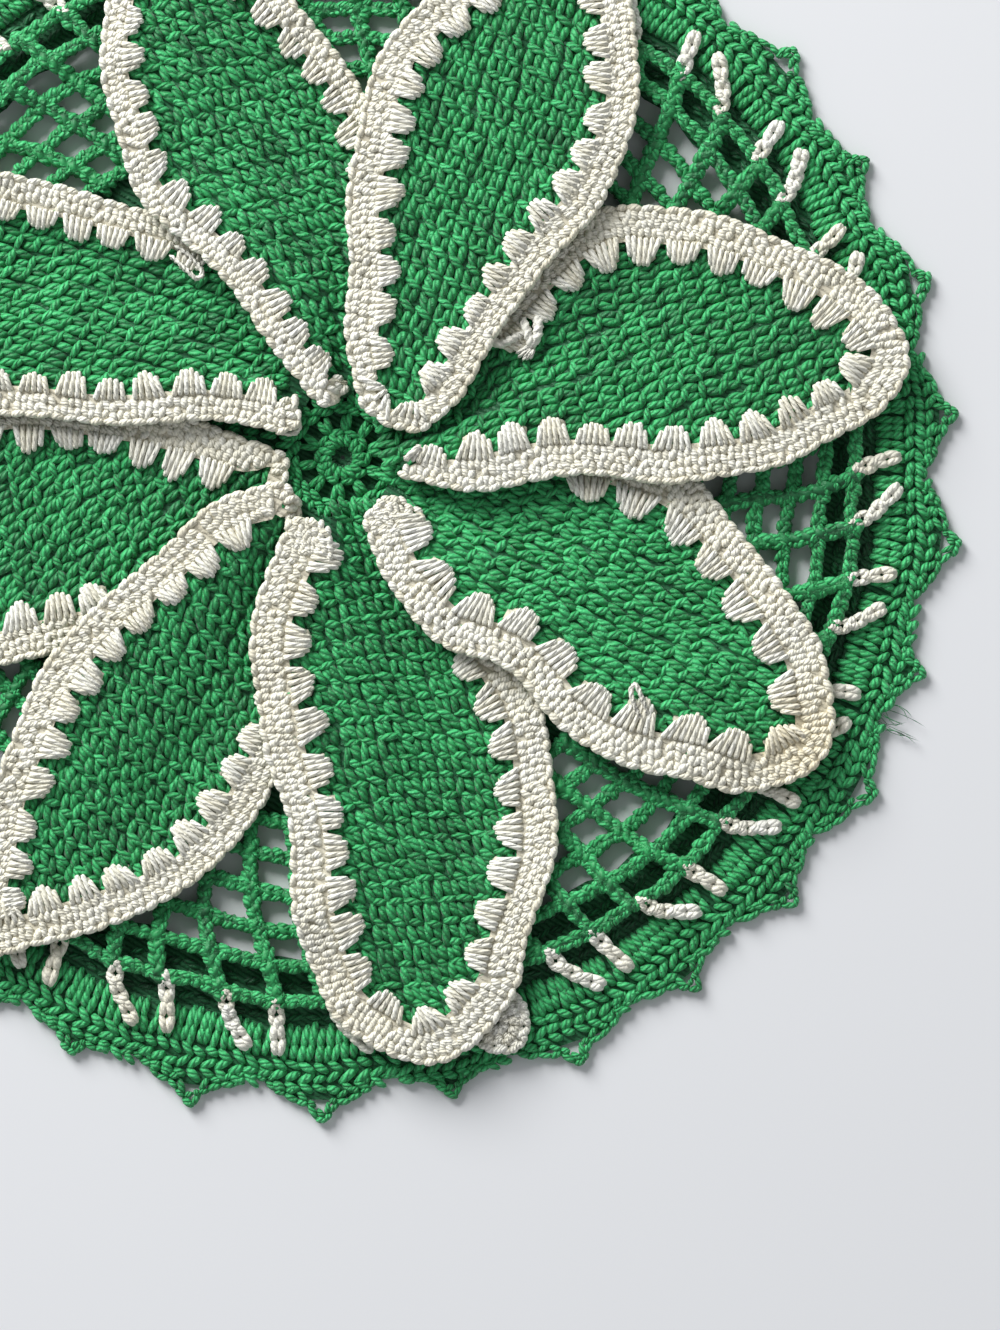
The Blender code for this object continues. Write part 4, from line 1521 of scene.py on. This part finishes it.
PETAL_COLUMNS, PETAL_ROWS = 24, 12
PETAL_SHEET_INSET, PETAL_SHEET_TIP, PETAL_SHEET_HEIGHT = 0.8, 1.5, 0.1
BAND_STEP, BAND_START, BAND_OUTER, BAND_LEAST, BAND_HEIGHT = 4, 0.3, 0.5, 0.9, 1.15
# The band under a border's rows sits near the dark cream: painted shade in the pits between the row
# stitches.
BAND_PAINTED_SHADE = 0.1
PETAL_SLAB_THICKNESS = 0.4
ROWS_SEED, LOBES_SEED = 50, 90


def make_petal(shape, sizes, seed):
    """One petal: a thin green sheet, the stitches on it, and its cream border with its stitches."""
    name = shape.petal.name
    shadow, green, cream, felted = (
        dyed(colour) for colour in ("dark_green", "green", "cream", "felted_cream"))
    above = covers(STACK[:STACK.index(name)], PETAL_COVER_INSET)

    def hidden(place):
        return any(inside(place, corners) for corners in above)

    def sheet_place(column, row):
        distance = mix(shape.base, shape.reach - PETAL_SHEET_TIP, column / PETAL_COLUMNS)
        right = PETAL_SHEET_INSET - shape.half_width(distance, -1)
        left = shape.half_width(distance, 1) - PETAL_SHEET_INSET
        return shape.place((distance, mix(right, left, row / PETAL_ROWS)), PETAL_SHEET_HEIGHT)

    rim = [at for at in shape.rim[::BAND_STEP] if at[3] > BAND_START]

    def band_place(column, row):
        deep = BORDER_ROWS_SHARE * shape.deep(rim[column][0], rim[column][3])
        depth = (max(BAND_LEAST, deep), BAND_OUTER)[row]
        return shape.place(inward_place(rim[column], 0.0, depth), BAND_HEIGHT)

    # The sheet under the petal's stitches is in the painted-shade cotton, dark as the shade between
    # strands.
    sheet = slab(f"petal_{name}_sheet", PETAL_COLUMNS, PETAL_ROWS, sheet_place,
                 PETAL_SLAB_THICKNESS, shadow)
    worked = work(f"petal_{name}_stitches", petal_fabric(shape, sizes, seed, hidden), green,
                  sizes.unevenness)
    border = f"petal_border_{name}"
    band = slab(border + "_band", len(rim) - 1, 1, band_place, PETAL_SLAB_THICKNESS, cream,
                shade=BAND_PAINTED_SHADE)
    band.data.flip_normals()  # a slab that follows the rim comes out with its faces inwards
    rows = work(border + "_rows", border_rows(shape, seed + ROWS_SEED, hidden), felted,
                sizes.unevenness)
    lobes = work(border + "_lobes", border_lobes(shape, seed + LOBES_SEED, hidden), cream,
                 0.5 * sizes.unevenness, "blunt_strand")
    stand_for(f"petal_{name}", "green_cotton", sheet, worked)
    stand_for(border, "cream_cotton", band, rows, lobes)
    offsets = [point.y for point, *_ in shape.rim]
    plan_area(sheet.data)


class DOILY_OT_petals(bpy.types.Operator):
    """Work the eight petals with their cream borders"""

    bl_idname = "doily.petals"
    bl_label = "Petals"

    def execute(self, context):
        sizes = context.scene.doily_sizes
        for n, shape in enumerate(SHAPES.values()):
            make_petal(shape, sizes, sizes.seed + 10 + n)
        return {"FINISHED"}


# Loose yarn on the petals: the petal, the yarn's radius, and the places it passes in plan.
LOOSE_YARN = (
    ("a", 0.8, ((26.4, 22.2), (25.2, 20.6), (25.0, 19.2), (26.2, 18.2), (28.2, 18.8),
                (30.6, 19.9))),
    ("a", 0.9, ((32.4, 22.8), (32.6, 20.8), (32.2, 18.9), (31.0, 17.6))),
    ("a", 0.8, ((29.6, 22.6), (30.6, 20.6), (31.2, 18.8), (31.6, 17.4))),
    ("a", 0.3, ((31.6, 18.4), (30.2, 17.2), (28.8, 16.4))),
    ("a", 0.3, ((31.6, 18.2), (30.4, 16.8), (29.1, 15.7))),
    ("a", 0.3, ((31.7, 18.0), (30.8, 16.6), (29.8, 15.2))),
    ("a", 0.3, ((31.8, 18.0), (31.2, 16.6), (30.4, 15.3))),
    ("a", 0.3, ((31.9, 18.0), (31.6, 16.6), (31.0, 15.5))),
    ("a", 0.55, ((10.2, -0.8), (11.4, 0.4), (12.9, 1.9))),
    ("b", 0.46, ((48.9, -43.0), (47.3, -40.2), (46.9, -38.0), (47.7, -37.3), (48.6, -39.4),
                 (50.0, -42.6))),
    ("e", 0.50, ((-10.6, 5.0), (-8.8, 6.7), (-7.2, 5.8), (-7.3, 4.2), (-8.8, 3.8), (-10.8, 4.4))),
    ("f", 0.46, ((-28.0, 35.2), (-25.2, 33.0), (-23.2, 30.2), (-24.2, 29.2), (-26.4, 31.4),
                 (-28.8, 33.6))),
)
LOOSE_HEIGHT, LOOSE_END_HEIGHT, LOOSE_STEPS, LOOSE_SHADE = 2.5, 1.9, 4, 0.8
FUZZ_START, FUZZ_END = Vector((88.0, -42.6)), Vector((94.6, -45.6))
FUZZ_HAIRS, FUZZ_RADIUS, FUZZ_SHADE = 16, 0.07, 1.0


class DOILY_OT_loose_ends(bpy.types.Operator):
    """Lay the loose loops, the stray ends and the tuft of fuzz"""

    bl_idname = "doily.loose_ends"
    bl_label = "Loose Ends"

    def execute(self, context):
        sizes = context.scene.doily_sizes
        green, cream = dyed("green"), dyed("cream")
        loops = Cords(sizes.seed + 30)
        for name, radius, places in LOOSE_YARN:
            shape = SHAPES[name]
            line = []
            for n, place in enumerate(places):
                plan = Vector(place)
                height = LOOSE_END_HEIGHT if n in (0, len(places) - 1) else LOOSE_HEIGHT
                line.append(shape.place((plan.dot(shape.along), plan.dot(shape.left)), height))
            loops.add(smooth_through(line, LOOSE_STEPS), radius, LOOSE_SHADE)
        fuzz = Cords(sizes.seed + 31)
        for _ in range(FUZZ_HAIRS):
            run = (FUZZ_END - FUZZ_START) * fuzz.some(0.3, 1.1)
            bow = Vector((-run.y, run.x)) * fuzz.around(0.35)
            start = FUZZ_START + Vector((fuzz.around(2.0), fuzz.around(2.5)))
            hair = [Vector((*(start + run * t + bow * math.sin(3.0 * t)),
                            0.5 + 0.6 * math.sin(2.5 * t))) for t in (0.0, 0.25, 0.5, 0.75, 1.0)]
            fuzz.add(hair, FUZZ_RADIUS, FUZZ_SHADE)
        strays = twist("loose_loops", loops, cream, turns=450.0, depth=0.12, sides=8)
        tuft = twist("edge_fuzz", fuzz, green, turns=280.0, depth=0.0, sides=4)
        stand_for("petal_border_a", "cream_cotton", strays)
        stand_for("scalloped_edge", "green_cotton", tuft)
        return {"FINISHED"}


VIEW_CENTRE = Vector((29.3, -30.8, 0.0))
VIEW_DISTANCE = 777.0
TABLE_REACH = 3.0
TABLE_ROUGHNESS = 0.6
LAMP_PLACE = Vector((-0.95, 1.30, 0.85))
LAMP_WIDTH = 1.0
SKY_TINT = (0.95, 0.97, 1.0, 1.0)
SKY_LOW, SKY_HIGH, OVERHEAD_SHARE = 0.5, 0.95, 0.15


class DOILY_OT_stage(bpy.types.Operator):
    """Lay a pale table under the doily, and add the soft lights and the camera"""

    bl_idname = "doily.stage"
    bl_label = "Table, Lights and Camera"

    def execute(self, context):
        look = context.scene.stage_look
        scene = context.scene
        mesh = bpy.data.meshes.new("table")
        corners = [(x * TABLE_REACH, y * TABLE_REACH, 0.0)
                   for x, y in ((-1, -1), (1, -1), (1, 1), (-1, 1))]
        mesh.from_pydata(corners, [], [(0, 1, 2, 3)])
        table = finished("table", mesh)
        material = bpy.data.materials.new("pale_table")
        material.use_nodes = True
        surface = material.node_tree.nodes["Principled BSDF"].inputs
        surface["Base Color"].default_value = (*look.surface, 1.0)
        surface["Roughness"].default_value = TABLE_ROUGHNESS
        mesh.materials.append(material)

        key = bpy.data.lights.new("key", "AREA")
        key.shape, key.size, key.energy = "DISK", LAMP_WIDTH, look.key_power
        lamp = bpy.data.objects.new("key", key)
        lamp.location = VIEW_CENTRE * MM + LAMP_PLACE
        lamp.rotation_euler = (-LAMP_PLACE).to_track_quat("-Z", "Y").to_euler()
        scene.collection.objects.link(lamp)

        sky = bpy.data.worlds.new("studio")
        sky.use_nodes = True
        nodes = Nodes(sky.node_tree)
        background = sky.node_tree.nodes["Background"].inputs
        background["Color"].default_value = SKY_TINT
        way = nodes.add("ShaderNodeTexCoord").outputs["Generated"]
        rise = nodes.add("ShaderNodeSeparateXYZ", {0: way}).outputs[2]
        strength = nodes.map_range({
            "Value": rise, "From Min": SKY_LOW, "From Max": SKY_HIGH, "To Min": look.fill,
            "To Max": OVERHEAD_SHARE * look.fill})
        nodes.put(strength, background["Strength"])
        scene.world = sky

        lens = bpy.data.cameras.new("camera")
        lens.sensor_fit, lens.sensor_height, lens.lens = "VERTICAL", 24.0, 85.0
        lens.clip_start = 0.01
        camera = bpy.data.objects.new("camera", lens)
        camera.location = (VIEW_CENTRE + up(VIEW_DISTANCE)) * MM
        scene.collection.objects.link(camera)
        scene.camera = camera
        scene.view_settings.view_transform = "Standard"
        return {"FINISHED"}


OPERATORS = (DOILY_OT_yarn, DOILY_OT_ground, DOILY_OT_net, DOILY_OT_backing_ring,
             DOILY_OT_scalloped_edge, DOILY_OT_cream_links, DOILY_OT_petals, DOILY_OT_loose_ends,
             DOILY_OT_stage)
GROUPS = {"doily_sizes": DoilySizes, "doily_colours": DoilyColours, "stage_look": StageLook}


class DOILY_PT_panel(bpy.types.Panel):
    bl_idname = "DOILY_PT_panel"
    bl_label = "Crocheted Doily"
    bl_space_type = "VIEW_3D"
    bl_region_type = "UI"
    bl_category = "Doily"

    def draw(self, context):
        for name, group in GROUPS.items():
            for label in group.__annotations__:
                self.layout.prop(getattr(context.scene, name), label)
        for operator in OPERATORS:
            self.layout.operator(operator.bl_idname)


def register():
    for item in (*GROUPS.values(), *OPERATORS, DOILY_PT_panel):
        bpy.utils.register_class(item)
    for label, group in GROUPS.items():
        setattr(bpy.types.Scene, label, PointerProperty(type=group))


def unregister():
    for label in GROUPS:
        delattr(bpy.types.Scene, label)
    for item in (DOILY_PT_panel, *OPERATORS, *GROUPS.values()):
        bpy.utils.unregister_class(item)


def main():
    register()
    bpy.ops.doily.yarn()
    bpy.ops.doily.ground()
    bpy.ops.doily.net()
    bpy.ops.doily.backing_ring()
    bpy.ops.doily.scalloped_edge()
    bpy.ops.doily.cream_links()
    bpy.ops.doily.petals()
    bpy.ops.doily.loose_ends()
    bpy.ops.doily.stage()
    for name in ("strand", "blunt_strand"):
        bpy.data.objects.remove(bpy.data.objects[name])


if __name__ == "__main__":
    main()
